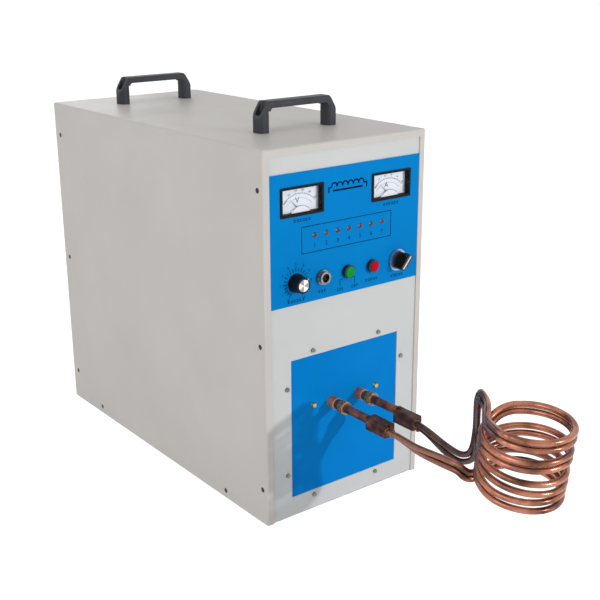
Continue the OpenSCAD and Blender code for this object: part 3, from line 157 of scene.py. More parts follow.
# Cover: one folded steel sheet over both sides and the top, powder coated in a warm light grey.
# The coat has the faint orange peel of baked powder, a little uneven in tone.
def grain(node_list, link_list, scale, stretch=(1, 1, 1), detail=3.0):
    """A noise on the piece's own coordinates, in grains per metre."""
    place = node_list.new("ShaderNodeTexCoord")
    mapping = node_list.new("ShaderNodeMapping")
    mapping.inputs["Scale"].default_value = stretch
    noise = node_list.new("ShaderNodeTexNoise")
    noise.inputs["Scale"].default_value = scale
    noise.inputs["Detail"].default_value = detail
    link_list.new(place.outputs["Object"], mapping.inputs["Vector"])
    link_list.new(mapping.outputs["Vector"], noise.inputs["Vector"])
    return noise.outputs["Fac"]


def ramp(node_list, link_list, source, stops):
    """A colour ramp with (place, colour) stops over a grain."""
    colours = node_list.new("ShaderNodeValToRGB")
    band = colours.color_ramp
    while len(band.elements) < len(stops):
        band.elements.new(0.5)
    for element, (place, colour) in zip(band.elements, stops):
        element.position = place
        element.color = colour
    link_list.new(source, colours.inputs["Fac"])
    return colours.outputs["Color"]


def rough_range(node_list, link_list, source, low, high):
    spread = node_list.new("ShaderNodeMapRange")
    spread.inputs["To Min"].default_value = low
    spread.inputs["To Max"].default_value = high
    link_list.new(source, spread.inputs["Value"])
    return spread.outputs["Result"]


def bumped(node_list, link_list, source, depth, strength=1.0):
    bump = node_list.new("ShaderNodeBump")
    bump.inputs["Distance"].default_value = depth
    bump.inputs["Strength"].default_value = strength
    link_list.new(source, bump.inputs["Height"])
    return bump.outputs["Normal"]


def powder_coat(name, light, dark, roughness=(0.36, 0.5), peel=900, depth=0.00006):
    material, node_list, link_list = new_material(name)
    shader = node_list["Principled BSDF"]
    shader.inputs["Specular IOR Level"].default_value = 0.18
    cloud = grain(node_list, link_list, 7)
    link_list.new(ramp(node_list, link_list, cloud, ((0.3, dark), (0.7, light))),
                  shader.inputs["Base Color"])
    link_list.new(rough_range(node_list, link_list, grain(node_list, link_list, 40), *roughness),
                  shader.inputs["Roughness"])
    link_list.new(bumped(node_list, link_list, grain(node_list, link_list, peel), depth),
                  shader.inputs["Normal"])
    return material


def finish_nodes(material, *names):
    """Gives CAD nodes their finish."""
    for name in names:
        nodes[name].data.materials.clear()
        nodes[name].data.materials.append(material)


cover_coat = powder_coat("warm_grey_powder_coat", tone(211, 206, 201), tone(205, 200, 195))
finish_nodes(cover_coat, "cover")


# Panels: two flanged sheet blanks behind the cover's lips, coated in a cooler light grey, and the
# zinc plated base pan and shelf, with the spangle of the plating.
panel_coat = powder_coat("cool_grey_powder_coat", tone(213, 215, 213), tone(208, 210, 209))
finish_nodes(panel_coat, "front_panel", "rear_panel")


def plated_metal(name, light, dark, roughness, scale=60, stretch=(1, 1, 1), depth=0.00002):
    material, node_list, link_list = new_material(name)
    shader = node_list["Principled BSDF"]
    shader.inputs["Metallic"].default_value = 1.0
    cloud = grain(node_list, link_list, scale, stretch)
    link_list.new(ramp(node_list, link_list, cloud, ((0.35, dark), (0.65, light))),
                  shader.inputs["Base Color"])
    link_list.new(rough_range(node_list, link_list, cloud, *roughness), shader.inputs["Roughness"])
    fine = grain(node_list, link_list, scale * 12, stretch)
    link_list.new(bumped(node_list, link_list, fine, depth), shader.inputs["Normal"])
    return material


zinc = plated_metal("zinc_plating", tone(205, 208, 210), tone(180, 184, 188), (0.3, 0.5), 90)
finish_nodes(zinc, "base_pan", "equipment_shelf")


# Handles: glass filled nylon mouldings in dark grey with a fine spark eroded grain, each held by
# two socket screws at the bottom of its end pockets.
def moulded(name, light, dark, roughness, grain_size=1500, depth=0.00008, coat=0.0):
    material, node_list, link_list = new_material(name)
    shader = node_list["Principled BSDF"]
    shader.inputs["Coat Weight"].default_value = coat
    cloud = grain(node_list, link_list, 45)
    link_list.new(ramp(node_list, link_list, cloud, ((0.3, dark), (0.7, light))),
                  shader.inputs["Base Color"])
    fine = grain(node_list, link_list, grain_size)
    link_list.new(rough_range(node_list, link_list, fine, *roughness), shader.inputs["Roughness"])
    link_list.new(bumped(node_list, link_list, fine, depth), shader.inputs["Normal"])
    return material


handle_nylon = moulded("dark_grey_nylon", tone(58, 60, 66), tone(46, 48, 54), (0.42, 0.6))
set_shader(handle_nylon, specular=0.3)
finish_nodes(handle_nylon, "front_handle", "rear_handle")
black_steel = plated_metal("blackened_steel", tone(66, 66, 70), tone(40, 40, 44), (0.35, 0.55), 400)
finish_nodes(black_steel, "handle_screws", "cover_screws")


# Control plate: a blue lacquered sheet with its legends screen printed in dark ink. The title is
# a row of coil turns, the lamps have plain numbers, and the other legends are plain strokes.
def lacquer(name, light, dark):
    material, node_list, link_list = new_material(name)
    shader = node_list["Principled BSDF"]
    shader.inputs["Specular IOR Level"].default_value = 0.03
    link_list.new(ramp(node_list, link_list, grain(node_list, link_list, 9),
                       ((0.3, dark), (0.7, light))), shader.inputs["Base Color"])
    link_list.new(rough_range(node_list, link_list, grain(node_list, link_list, 60), 0.34, 0.46),
                  shader.inputs["Roughness"])
    link_list.new(bumped(node_list, link_list, grain(node_list, link_list, 1100), 0.00003),
                  shader.inputs["Normal"])
    return material


blue_lacquer = lacquer("blue_lacquer", tone(0, 133, 208), tone(0, 128, 202))
finish_nodes(blue_lacquer, "control_plate")

plate_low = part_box("control_plate")[0]
plate_front = plate_low.y
plate_foot = plate_low.z / MM
ink_thickness = 0.04 * MM
stroke_overlap = 1.08
row_height = plate_foot + 29.5


def printing_ink(name, colour, patchy):
    material, node_list, link_list = new_material(name)
    shader = node_list["Principled BSDF"]
    shader.inputs["Roughness"].default_value = 0.6
    shader.inputs["Specular IOR Level"].default_value = 0.02
    link_list.new(ramp(node_list, link_list, grain(node_list, link_list, 1200),
                       ((0.3, patchy), (0.6, colour))), shader.inputs["Base Color"])
    return material


navy_ink = printing_ink("navy_printing_ink", tone(2, 10, 40), tone(4, 20, 58))


def print_bar(x, z, width, height, turn=0.0, front=None):
    """A printed stroke: a thin slab on a face, in millimetres, turned clockwise by turn degrees."""
    bpy.ops.mesh.primitive_cube_add(size=1)
    bar = bpy.context.object
    bar.dimensions = (width * MM, ink_thickness, height * MM)
    bar.rotation_euler = (0, math.radians(turn), 0)
    bar.location = (x * MM, (plate_front if front is None else front) - ink_thickness / 2, z * MM)
    bpy.ops.object.transform_apply(location=True, rotation=True, scale=True)
    return bar


def print_word(word, x, z, height, front=None):
    """Printed numbers or letters, centred on a place, in millimetres."""
    bpy.ops.object.text_add(rotation=(math.radians(90), 0, 0))
    text = bpy.context.object
    text.data.body = word
    text.data.size = height * MM * 1.38
    text.data.extrude = ink_thickness / 2
    text.data.resolution_u = 4
    text.data.align_x = "CENTER"
    text.data.align_y = "CENTER"
    bpy.ops.object.convert(target="MESH")
    text.location = (x * MM, (plate_front if front is None else front) - ink_thickness / 2, z * MM)
    bpy.ops.object.transform_apply(location=True, rotation=True, scale=True)
    return text


def round_place(x, z, reach, angle):
    """The place at a reach from x, z in the direction of angle degrees, clockwise from the top."""
    return x + reach * math.sin(math.radians(angle)), z + reach * math.cos(math.radians(angle))


def print_arc(x, z, radius, first, last, width, front=None, steps=24):
    """A printed arc from first to last degrees, clockwise from the top, as short strokes."""
    strokes = []
    step = (last - first) / steps
    for i in range(steps):
        middle = first + (i + 0.5) * step
        length = radius * math.radians(abs(step)) * stroke_overlap
        strokes.append(print_bar(*round_place(x, z, radius, middle), length, width, middle, front))
    return strokes


def join(pieces, name):
    """Joins pieces into one and names it."""
    bpy.ops.object.select_all(action="DESELECT")
    for piece in pieces:
        piece.select_set(True)
    bpy.context.view_layer.objects.active = pieces[0]
    if len(pieces) > 1:
        bpy.ops.object.join()
    whole = bpy.context.object
    whole.name = name
    whole.data.name = name
    return whole


def put_on(piece, material, body):
    """Gives a piece its finish, body and slot."""
    piece.data.materials.clear()
    piece.data.materials.append(material)
    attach(piece, body)
    return piece


bpy.ops.object.select_all(action="DESELECT")
legends = []
frame_middle, frame_half, frame_low, frame_high, line_width = 0.0, 75.3, 367.0, 401.6, 0.9
for z in (frame_low, frame_high):
    legends.append(print_bar(frame_middle, z, 2 * frame_half + line_width, line_width))
for x in (-frame_half, frame_half):
    legends.append(print_bar(x, (frame_low + frame_high) / 2, line_width, frame_high - frame_low))
title_height, turn_pitch, title_turns = 447.5, 9.0, 6
for turn in range(title_turns):
    x = (turn - (title_turns - 1) / 2) * turn_pitch
    legends += print_arc(x, title_height, turn_pitch / 2 - 0.3, -105, 105, 2.0, steps=14)
title_half = title_turns * turn_pitch / 2
for side in (-1, 1):
    legends.append(print_bar(side * (title_half + 2.2), title_height - 1.2, 6.0, 2.0))
    legends.append(print_bar(side * (title_half + 4.6), title_height - 4.2, 2.0, 7.6))
legends.append(print_bar(0, title_height - 6.0, 2 * title_half - 4, 2.4))
lamp_count, lamp_pitch, lamp_middle, lamp_number_row = 7, 18.95, 2.4, 375.6
for lamp in range(lamp_count):
    x = lamp_middle + (lamp - (lamp_count - 1) / 2) * lamp_pitch
    legends.append(print_word(str(lamp + 1), x, lamp_number_row, 5.8))
knob_place, dial_radius = -85.0, 15.2
for i in range(21):
    angle = -150 + 15 * i
    long = i % 2 == 0
    length = 6.0 if long else 4.4
    legends.append(print_bar(*round_place(knob_place, row_height, dial_radius + length / 2, angle),
                             0.95, length, angle))
    if long:
        number_place = round_place(knob_place, row_height, dial_radius + 9.4, angle)
        legends.append(print_word(str(i // 2), *number_place, 3.8))
meter_place, socket_place, selector_place, red_button_place = 74.5, -42.4, 88, 42.2
for x, z, mark_count in ((-meter_place, 411.6, 6), (meter_place, 411.6, 6), (knob_place, 307.4, 6),
                         (socket_place, 312.2, 3), (selector_place, 309.8, 5),
                         (red_button_place, 312.2, 5)):
    for mark in range(mark_count):
        middle = x + (mark - (mark_count - 1) / 2) * 4.6
        legends.append(print_bar(middle, z + 0.9, 3.4, 0.8))
        legends.append(print_bar(middle, z - 1.5, 3.4, 0.8))
        legends.append(print_bar(middle + (mark % 2 - 0.5) * 1.4, z - 0.3, 0.9, 3.2))
for word, x in (("ON", -12.5), ("OFF", 12.5)):
    legends.append(print_word(word, x, 308.2, 4.6))
    legends.append(print_bar(x, 317.0, 0.85, 9.0))
    legends.append(print_bar(x - math.copysign(2.4, x), 321.4, 4.8, 0.85))
put_on(join(legends, "plate_legends"), navy_ink, "cabinet")


# Meters: black moulded cases with a clear front, a white printed dial with its scale, numbers and
# letter, a thin needle, and a white cover over the movement at the bottom of the dial.
meter_black = moulded("black_meter_moulding", tone(14, 14, 16), tone(9, 9, 11), (0.4, 0.55))
set_shader(meter_black, specular=0.12)
dial_white = moulded("dial_white", tone(236, 241, 250), tone(230, 236, 247), (0.45, 0.6),
                     600, 0.00001)
needle_black = moulded("needle_lacquer", tone(40, 40, 46), tone(28, 28, 32), (0.3, 0.4))
finish_nodes(meter_black, "voltmeter_case", "ammeter_case")
# The dial has a painted glow: a faint emission brightens its white, though it is no lamp.
set_shader(dial_white, glow_colour=(0.9, 0.95, 1.0, 1), glow=0.16)
finish_nodes(dial_white, "voltmeter_dial", "ammeter_dial")
finish_nodes(needle_black, "voltmeter_needle", "ammeter_needle")
clear, clear_nodes, clear_links = new_material("clear_acrylic")
clear_shader = clear_nodes["Principled BSDF"]
clear_shader.inputs["Base Color"].default_value = (0.02, 0.02, 0.03, 1)
set_shader(clear, roughness=0.06, alpha=0.04)
clear_links.new(bumped(clear_nodes, clear_links, grain(clear_nodes, clear_links, 60), 0.00002),
                clear_shader.inputs["Normal"])
finish_nodes(clear, "voltmeter_window", "ammeter_window")
# This black serves the printed scale, and also the painted shade along the movement cover's edge.
black_print_and_edge_shade = printing_ink("dial_black_ink_and_edge_shade", tone(34, 36, 44), tone(46, 48, 56))
scale_red = printing_ink("dial_red_ink", tone(196, 74, 60), tone(204, 92, 78))
# This grey is painted shade, for the strip at each dial's right side.
wall_shade_grey = printing_ink("dial_painted_shade_grey", tone(196, 204, 216), tone(186, 194, 208))
pivot_height, scale_middle, scale_radius, sweep = 422.9, 410.9, 33.2, 47
dial_rim = 3.8
for name, x, letter, full in (("voltmeter", -meter_place, "V", 600),
                              ("ammeter", meter_place, "A", 50)):
    dial_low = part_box(name + "_dial")[0]
    dial_front = dial_low.y + dial_rim * MM
    marks = print_arc(x, scale_middle, scale_radius, -sweep, sweep, 0.42, dial_front)
    marks += print_arc(x, scale_middle, scale_radius - 5.6, -sweep, sweep, 0.28, dial_front)
    for i in range(21):
        angle = -sweep + 2 * sweep * i / 20
        length = (2.6, 1.5)[i % 4 != 0]
        marks.append(print_bar(*round_place(x, scale_middle, scale_radius + length / 2, angle),
                               0.36, length, angle, dial_front))
    for i in range(6):
        angle = math.radians(-sweep + 2 * sweep * i / 5)
        reach = scale_radius + 4.6
        marks.append(print_word(str(full * i // 5), x + reach * math.sin(angle) * 0.92,
                                scale_middle + reach * math.cos(angle), 2.5, dial_front))
    marks.append(print_word(letter, x - 3.0, pivot_height + 12.6, 7.4, dial_front))
    put_on(join(marks, name + "_scale"), black_print_and_edge_shade, "cabinet")
    red_marks = print_arc(x, scale_middle, scale_radius - 1.1, -sweep, -sweep * 0.76, 0.8,
                          dial_front, 5)
    put_on(join(red_marks, name + "_red_arc"), scale_red, "cabinet")
    # A grey strip at the dial's right side is painted shade of the case's side wall, not ink on the
    # dial.
    wall_shade_strip = print_bar(x + 28.4, dial_low.z / MM + 16.4, 4.2, 31, 0, dial_front + 0.01 * MM)
    put_on(join([wall_shade_strip], name + "_dial_painted_shade_strip"), wall_shade_grey, "cabinet")
    # The black arc along the movement cover's edge is painted shade at the cover's step, drawn in
    # the scale's black.
    cover_edge_shade = print_arc(x, dial_low.z / MM + 8.3 - 17.5, 17.7, -44, 44, 0.5,
                     dial_front - dial_rim * MM, 22)
    put_on(join(cover_edge_shade, name + "_movement_cover_edge_shade"), black_print_and_edge_shade, "cabinet")


# Lamps: seven light emitting diodes, each a domed coloured lens in a chromed bezel.
# Only the second one is green.
chrome = plated_metal("bright_chrome", tone(168, 176, 190), tone(120, 130, 148), (0.1, 0.24), 900)
dark_chrome = plated_metal("lamp_chrome", tone(120, 126, 140), tone(62, 66, 76), (0.15, 0.3), 1400)
finish_nodes(dark_chrome, "lamp_bezels")


def lens(name, colour, deep):
    material, node_list, link_list = new_material(name)
    shader = node_list["Principled BSDF"]
    shader.inputs["Roughness"].default_value = 0.12
    shader.inputs["Specular IOR Level"].default_value = 0.3
    shader.inputs["Subsurface Weight"].default_value = 0.25
    shader.inputs["Subsurface Scale"].default_value = 0.002
    link_list.new(ramp(node_list, link_list, grain(node_list, link_list, 700),
                       ((0.35, deep), (0.65, colour))), shader.inputs["Base Color"])
    return material


finish_nodes(lens("red_lens", tone(134, 30, 32), tone(92, 20, 22)), "red_lamps")
finish_nodes(lens("green_lens", tone(22, 120, 48), tone(14, 88, 34)), "green_lamp")


# Power knob: a black fluted phenolic knob with a turned aluminium cap and a white line, on the
# steel shaft of the potentiometer behind the panel.
knob_black = moulded("black_knob_moulding", tone(12, 12, 14), tone(7, 7, 9), (0.3, 0.42), coat=0.1)
set_shader(knob_black, specular=0.2)
finish_nodes(knob_black, "power_knob")
steel = plated_metal("plain_steel", tone(188, 190, 194), tone(160, 162, 167), (0.28, 0.45), 150)
finish_nodes(steel, "potentiometer", "potentiometer_shaft", "fan_guard")


def turned_metal_painted_shine(name, light, dark, centre):
    """Metal faced on a lathe, whose shine breaks into wedges round the centre, here painted as
    highlight and shade in its colour.
    """
    material, node_list, link_list = new_material(name)
    shader = node_list["Principled BSDF"]
    shader.inputs["Metallic"].default_value = 1.0
    place = node_list.new("ShaderNodeTexCoord")
    centred = node_list.new("ShaderNodeVectorMath")
    centred.operation = "SUBTRACT"
    centred.inputs[1].default_value = centre
    parts = node_list.new("ShaderNodeSeparateXYZ")
    angle = node_list.new("ShaderNodeMath")
    angle.operation = "ARCTAN2"
    waves = node_list.new("ShaderNodeMath")
    waves.operation = "MULTIPLY"
    waves.inputs[1].default_value = 3.0
    swing = node_list.new("ShaderNodeMath")
    swing.operation = "SINE"
    link_list.new(place.outputs["Object"], centred.inputs[0])
    link_list.new(centred.outputs[0], parts.inputs[0])
    link_list.new(parts.outputs["X"], angle.inputs[0])
    link_list.new(parts.outputs["Z"], angle.inputs[1])
    link_list.new(angle.outputs[0], waves.inputs[0])
    link_list.new(waves.outputs[0], swing.inputs[0])
    painted_shine_wedge = rough_range(node_list, link_list, swing.outputs[0], 0.0, 1.0)
    node_list[-1].inputs["From Min"].default_value = -1.0
    # Painted highlight and shade: the colour runs light and dark in three pairs of wedges round the
    # cap's centre.
    link_list.new(ramp(node_list, link_list, painted_shine_wedge, ((0.2, dark), (0.8, light))),
                  shader.inputs["Base Color"])
    shader.inputs["Roughness"].default_value = 0.3
    return material


cap_low, cap_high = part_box("power_knob_cap")
cap_centre = (cap_low + cap_high) / 2
finish_nodes(turned_metal_painted_shine("turned_aluminium", tone(236, 236, 238), tone(138, 138, 142), cap_centre),
             "power_knob_cap")
white_ink = printing_ink("white_line_ink", tone(238, 238, 236), tone(226, 226, 224))
bpy.ops.object.select_all(action="DESELECT")
knob_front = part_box("power_knob")[0].y
pointer_turn, pointer_reach = 45, 9.3
pointer = print_bar(*round_place(knob_place, row_height, pointer_reach, pointer_turn),
                    1.3, 3.0, pointer_turn, knob_front + 0.06 * MM)
put_on(join([pointer], "knob_pointer_line"), white_ink, "power_knob")


# Foot switch socket: a nickel plated brass barrel with a ring nut, four tarnished pins, and the
# dark moulded floor that holds them.
nickel = plated_metal("satin_nickel", tone(158, 155, 150), tone(104, 101, 97), (0.2, 0.36), 500)
brass = plated_metal("plain_brass", tone(214, 174, 98), tone(176, 132, 64), (0.22, 0.42), 260)
finish_nodes(nickel, "foot_switch_socket")
finish_nodes(brass, "board_studs", "earth_stud", "water_fittings")
pin_plating = plated_metal("tarnished_pin_plating", tone(128, 90, 58), tone(84, 56, 36),
                           (0.3, 0.5), 400)
finish_nodes(pin_plating, "socket_pins")
bpy.ops.object.select_all(action="DESELECT")
insert_radius, insert_thickness, insert_lift, insert_edge = 5.74, 0.3, 1.68, 0.08
bpy.ops.mesh.primitive_cylinder_add(
    vertices=48, radius=insert_radius * MM, depth=insert_thickness * MM,
    location=(socket_place * MM, plate_front - insert_lift * MM, row_height * MM),
    rotation=(math.radians(90), 0, 0))
insert = bpy.context.object


def round_edges(offset, segments):
    """Bevels every edge of the active piece, in millimetres."""
    bpy.ops.object.mode_set(mode="EDIT")
    bpy.ops.mesh.select_all(action="SELECT")
    bpy.ops.mesh.bevel(offset=offset * MM, segments=segments)
    bpy.ops.object.mode_set(mode="OBJECT")


round_edges(insert_edge, 2)
bpy.ops.object.transform_apply(location=True, rotation=True, scale=True)
insert_black = moulded("black_insert", tone(16, 12, 11), tone(9, 7, 7), (0.5, 0.65))
put_on(join([insert], "socket_insert"), insert_black, "cabinet")


# Push buttons: glossy green and red caps in black collars, sprung from the contact blocks behind.
# The caps are coloured right through.
def glossy(name, light, dark):
    material, node_list, link_list = new_material(name)
    shader = node_list["Principled BSDF"]
    shader.inputs["Specular IOR Level"].default_value = 0.05
    cloud = grain(node_list, link_list, 120)
    link_list.new(ramp(node_list, link_list, cloud, ((0.3, dark), (0.7, light))),
                  shader.inputs["Base Color"])
    link_list.new(rough_range(node_list, link_list, cloud, 0.24, 0.38), shader.inputs["Roughness"])
    return material


finish_nodes(glossy("green_cap", tone(8, 164, 46), tone(5, 142, 40)), "green_button")
finish_nodes(glossy("red_cap", tone(200, 6, 34), tone(178, 4, 28)), "red_button")
gloss_black = moulded("gloss_black_moulding", tone(13, 13, 15), tone(8, 8, 10), (0.2, 0.32),
                      coat=0.15)
finish_nodes(gloss_black, "button_bezels", "selector_knob", "breaker_lever")
finish_nodes(meter_black, "contact_blocks")


# Selector: a chromed double ring round a black turning disc with a raised grip, whose front edge
# carries a white stripe.
finish_nodes(chrome, "selector_bezel")
bpy.ops.object.select_all(action="DESELECT")
grip_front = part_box("selector_knob")[0].y
stripe_turn = 40
stripe = print_bar(selector_place, row_height, 1.9, 20.5, stripe_turn, grip_front + 0.01 * MM)
stripe_white = moulded("white_stripe", tone(240, 240, 238), tone(228, 228, 226), (0.3, 0.45))
put_on(join([stripe], "selector_stripe"), stripe_white, "selector_knob")


# Terminal board: a thick laminate board in the same blue, behind the window in the front panel,
# held by eight pan head screws with crossed slots.
laminate = lacquer("blue_laminate", tone(0, 134, 215), tone(0, 127, 208))
finish_nodes(laminate, "terminal_board")
dull_steel = plated_metal("dull_steel", tone(150, 146, 138), tone(104, 100, 94), (0.3, 0.5), 500)
finish_nodes(dull_steel, "board_screws")


# Terminals: turned copper collars through the board, sealed by dark gaskets, with brass union
# nuts that draw the lead pipes up to them. Heat has stained the copper.
def stained_copper(name, stops, scale=38, roughness=(0.24, 0.5), dark_zone=None):
    """Copper with heat colours. dark_zone is where it is nearly black: two edges, in metres, with
    the share of soot before the first, across x and along y, and the soot's own stops."""
    material, node_list, link_list = new_material(name)
    shader = node_list["Principled BSDF"]
    shader.inputs["Metallic"].default_value = 0.85
    cloud = grain(node_list, link_list, scale, (1, 1, 1), 5.0)
    colour = ramp(node_list, link_list, cloud, stops)
    if dark_zone:
        edge_x, edge_y, soot = dark_zone
        place = node_list.new("ShaderNodeTexCoord")
        parts = node_list.new("ShaderNodeSeparateXYZ")
        link_list.new(place.outputs["Object"], parts.inputs[0])
        shares = []
        for axis, edge in (("X", edge_x), ("Y", edge_y)):
            share = node_list.new("ShaderNodeMapRange")
            share.interpolation_type = "SMOOTHSTEP"
            share.inputs["From Min"].default_value = edge[0]
            share.inputs["From Max"].default_value = edge[1]
            share.inputs["To Min"].default_value = edge[2]
            link_list.new(parts.outputs[axis], share.inputs["Value"])
            shares.append(share.outputs["Result"])
        both = node_list.new("ShaderNodeMath")
        both.operation = "MULTIPLY"
        link_list.new(shares[0], both.inputs[0])
        link_list.new(shares[1], both.inputs[1])
        soot_colour = ramp(node_list, link_list, grain(node_list, link_list, 55), soot)
        mix = node_list.new("ShaderNodeMix")
        mix.data_type = "RGBA"
        link_list.new(both.outputs[0], mix.inputs[0])
        link_list.new(colour, mix.inputs[6])
        link_list.new(soot_colour, mix.inputs[7])
        colour = mix.outputs[2]
    link_list.new(colour, shader.inputs["Base Color"])
    link_list.new(rough_range(node_list, link_list, grain(node_list, link_list, 90), *roughness),
                  shader.inputs["Roughness"])
    link_list.new(bumped(node_list, link_list, grain(node_list, link_list, 260), 0.0002, 0.5),
                  shader.inputs["Normal"])
    return material


brown, purple, green_stain, soot_brown, soot_grey = (
    tone(126, 78, 63), tone(120, 95, 94), tone(100, 89, 66), tone(66, 44, 38), tone(92, 74, 70))
collar_copper = stained_copper("collar_copper", ((0.3, brown), (0.55, tone(196, 124, 96)),
                                                 (0.75, tone(214, 140, 106))))
set_shader(collar_copper, metallic=0.45)
finish_nodes(collar_copper, "terminals", "transformer_windings")
pipe_copper = stained_copper("pipe_copper", ((0.28, soot_brown), (0.45, brown),
                                             (0.6, tone(180, 110, 82)), (0.75, purple)), 60)
finish_nodes(pipe_copper, "lead_pipes")
gasket_rubber = moulded("dark_gasket", tone(74, 66, 64), tone(48, 42, 40), (0.5, 0.7), 900)
finish_nodes(gasket_rubber, "terminal_gaskets")
aged_brass = plated_metal("aged_brass", tone(190, 150, 104), tone(88, 64, 48), (0.26, 0.46), 420)
set_shader(aged_brass, metallic=0.5)
finish_nodes(aged_brass, "union_nuts")


# Brazing blocks: straight copper blocks, sawn and filed by hand, that join each lead pipe to its
# pair of coil tubes. The brazing heat has left them nearly black. A short tube lies in the left
# one's top, and a copper plate is inside its rear end, out of sight.
block_copper = stained_copper("block_copper", ((0.3, tone(52, 36, 34)), (0.5, tone(84, 56, 50)),
                                               (0.7, tone(118, 82, 72))), 90, (0.35, 0.6))
block_back, block_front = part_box("brazing_blocks")[1].y / MM, -400.0
block_x, block_width, block_height = 24.2, 16, 18
blocks = []
for x, z, seed in ((block_x, 146.0, 3), (-block_x, 149.5, 5)):
    bpy.ops.object.select_all(action="DESELECT")
    bpy.ops.mesh.primitive_cube_add(
        size=1, location=(x * MM, (block_back + block_front) / 2 * MM, z * MM))
    block = bpy.context.object
    block.dimensions = (block_width * MM, (block_back - block_front) * MM, block_height * MM)
    bpy.ops.object.transform_apply(location=False, rotation=False, scale=True)
    bpy.ops.object.mode_set(mode="EDIT")
    bpy.ops.mesh.select_all(action="SELECT")
    bpy.ops.mesh.bevel(offset=1.4 * MM, segments=2)
    bpy.ops.mesh.subdivide(number_cuts=3)
    bpy.ops.transform.vertex_random(offset=0.35 * MM, uniform=1.0, normal=0.0, seed=seed)
    bpy.ops.object.mode_set(mode="OBJECT")
    bpy.ops.object.transform_apply(location=True, rotation=True, scale=True)
    bpy.ops.object.shade_smooth_by_angle(angle=math.radians(35))
    blocks.append(block)
bpy.ops.object.select_all(action="DESELECT")
stub_radius, stub_length, stub_place = 3.6, 20, (-22.0, -392.0, 157.0)
bpy.ops.mesh.primitive_cylinder_add(
    vertices=32, radius=stub_radius * MM, depth=stub_length * MM,
    rotation=(math.radians(90), 0, 0), location=[value * MM for value in stub_place])
stub = bpy.context.object
bpy.ops.object.transform_apply(location=True, rotation=True, scale=True)
bpy.ops.object.shade_smooth_by_angle(angle=math.radians(40))
blocks.append(stub)
worn_blocks = put_on(join(blocks, "worn_brazing_blocks"), block_copper, "cabinet")
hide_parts("brazing_blocks")
bpy.ops.object.select_all(action="DESELECT")
plate_place, plate_size = (-block_x, block_back - 5.5, 149.8), (14.6, 7, 16.4)
bpy.ops.mesh.primitive_cube_add(size=1, location=[value * MM for value in plate_place])
plate = bpy.context.object
plate.dimensions = [value * MM for value in plate_size]
bpy.ops.object.transform_apply(location=True, rotation=True, scale=True)
round_edges(1.6, 3)
bpy.ops.object.shade_smooth_by_angle(angle=math.radians(35))
put_on(join([plate], "left_block_plate"), collar_copper, "cabinet")


# Coil tubes: two drawn copper tubes wound side by side as one pair, from the right block up the
# riser, over the top, round the coil and back to the left block. The route is the CAD's own.
def tilt_frame(tilt_x, tilt_y):
    """The coil's own axis, and the two directions square to it."""
    axis = Vector((tilt_x, tilt_y, 1)).normalized()
    across = Vector((1, 0, -tilt_x)).normalized()
    return axis, across, axis.cross(across)


def lookup(value, table):
    """Reads a table of (value, result) pairs, with straight lines between them."""
    for (low, first), (high, last) in zip(table, table[1:]):
        if value <= high:
            return first + (last - first) * max(0.0, (value - low) / (high - low))
    return table[-1][1]


tube_diameter, terminal_x, terminal_z = 8.0, 24.2, 151.0
front_face, block_reach, coil_reach = -286.0, 114.0, 300.0
coil_x, coil_rise, coil_fall = 19.6, 65.5, 95.0
top_radius, low_radius, coil_turns, coil_start, turn_steps = 51.8, 50.0, 3.47, -0.22, 24
fall_shares = ((-0.5, -0.03), (0, 0), (0.44, 0.13), (0.48, 0.175), (0.51, 0.23), (0.54, 0.268),
               (0.57, 0.274), (0.62, 0.276), (0.75, 0.278), (1, 0.28), (1.5, 0.47), (1.62, 0.51),
               (1.75, 0.547), (2, 0.62), (2.25, 0.653), (2.5, 0.7), (2.62, 0.742), (2.75, 0.82),
               (3, 0.864), (3.25, 0.9), (3.5, 0.947), (4, 1))
spread_shares = ((-0.3, 1.1), (0, 1.175), (0.46, 1.175), (0.5, 1.275), (0.57, 1.275), (0.7, 1.2),
                 (1, 1.24), (1.5, 1.31), (2, 1.69), (2.25, 1.5), (2.5, 1.19), (2.8, 1.31),
                 (3, 1.55), (3.3, 1.19), (3.6, 1.11))
left_lead = ((-1, 0, -0.053, (-0.8, 0, 0.6), 1.075), (-1, 0.043, -0.053, (-0.8, 0, 0.6), 1.075),
             (-1, 0.13, -0.07, (-0.7, 0, 0.7), 1.075), (-0.99, 0.28, -0.12, (-0.4, 0, 0.9), 1.075),
             (-0.93, 0.484, -0.115, (0, 0, 1), 1.075), (-0.806, 0.608, -0.13, (0, 0, 1), 1.075),
             (-0.372, 0.688, -0.26, (0, 0, 1), 1.075))
right_lead = ((-0.58, 0.823, 0.94, (0.1, -0.1, 1), 1.1), (-0.124, 0.761, 1, (0.2, -0.25, 1), 1.1),
              (0.51, 0.68, 1.043, (0.2, -0.2, 1), 1.1), (0.93, 0.594, 1.073, (0.2, 0.1, 1), 1.09),
              (1.15, 0.55, 1.038, (0.5, 0.5, 0.7), 1.09),
              (1.157, 0.534, 0.924, (0.62, 0.78, 0.1), 1.09),
              (1.145, 0.532, 0.748, (0.62, 0.78, 0), 1.09),
              (1.124, 0.534, 0.29, (0.62, 0.78, 0), 1.09),
              (1.095, 0.516, -0.168, (0.2, 0.85, 0.6), 1.1),
              (1.017, 0.43, -0.344, (0, 0.1, 1), 1.2),
              (1, 0.296, -0.321, (0, 0, 1), 1.2), (1, 0.129, -0.176, (-0.4, 0, 0.95), 1.1),
              (1, 0.043, -0.122, (-0.53, 0, 0.85), 1.08), (1, 0, -0.122, (-0.53, 0, 0.85), 1.08))
coil_axis, coil_across, coil_forth = tilt_frame(-0.03, -0.135)
coil_top = Vector((coil_x, front_face - coil_reach, terminal_z + coil_rise))


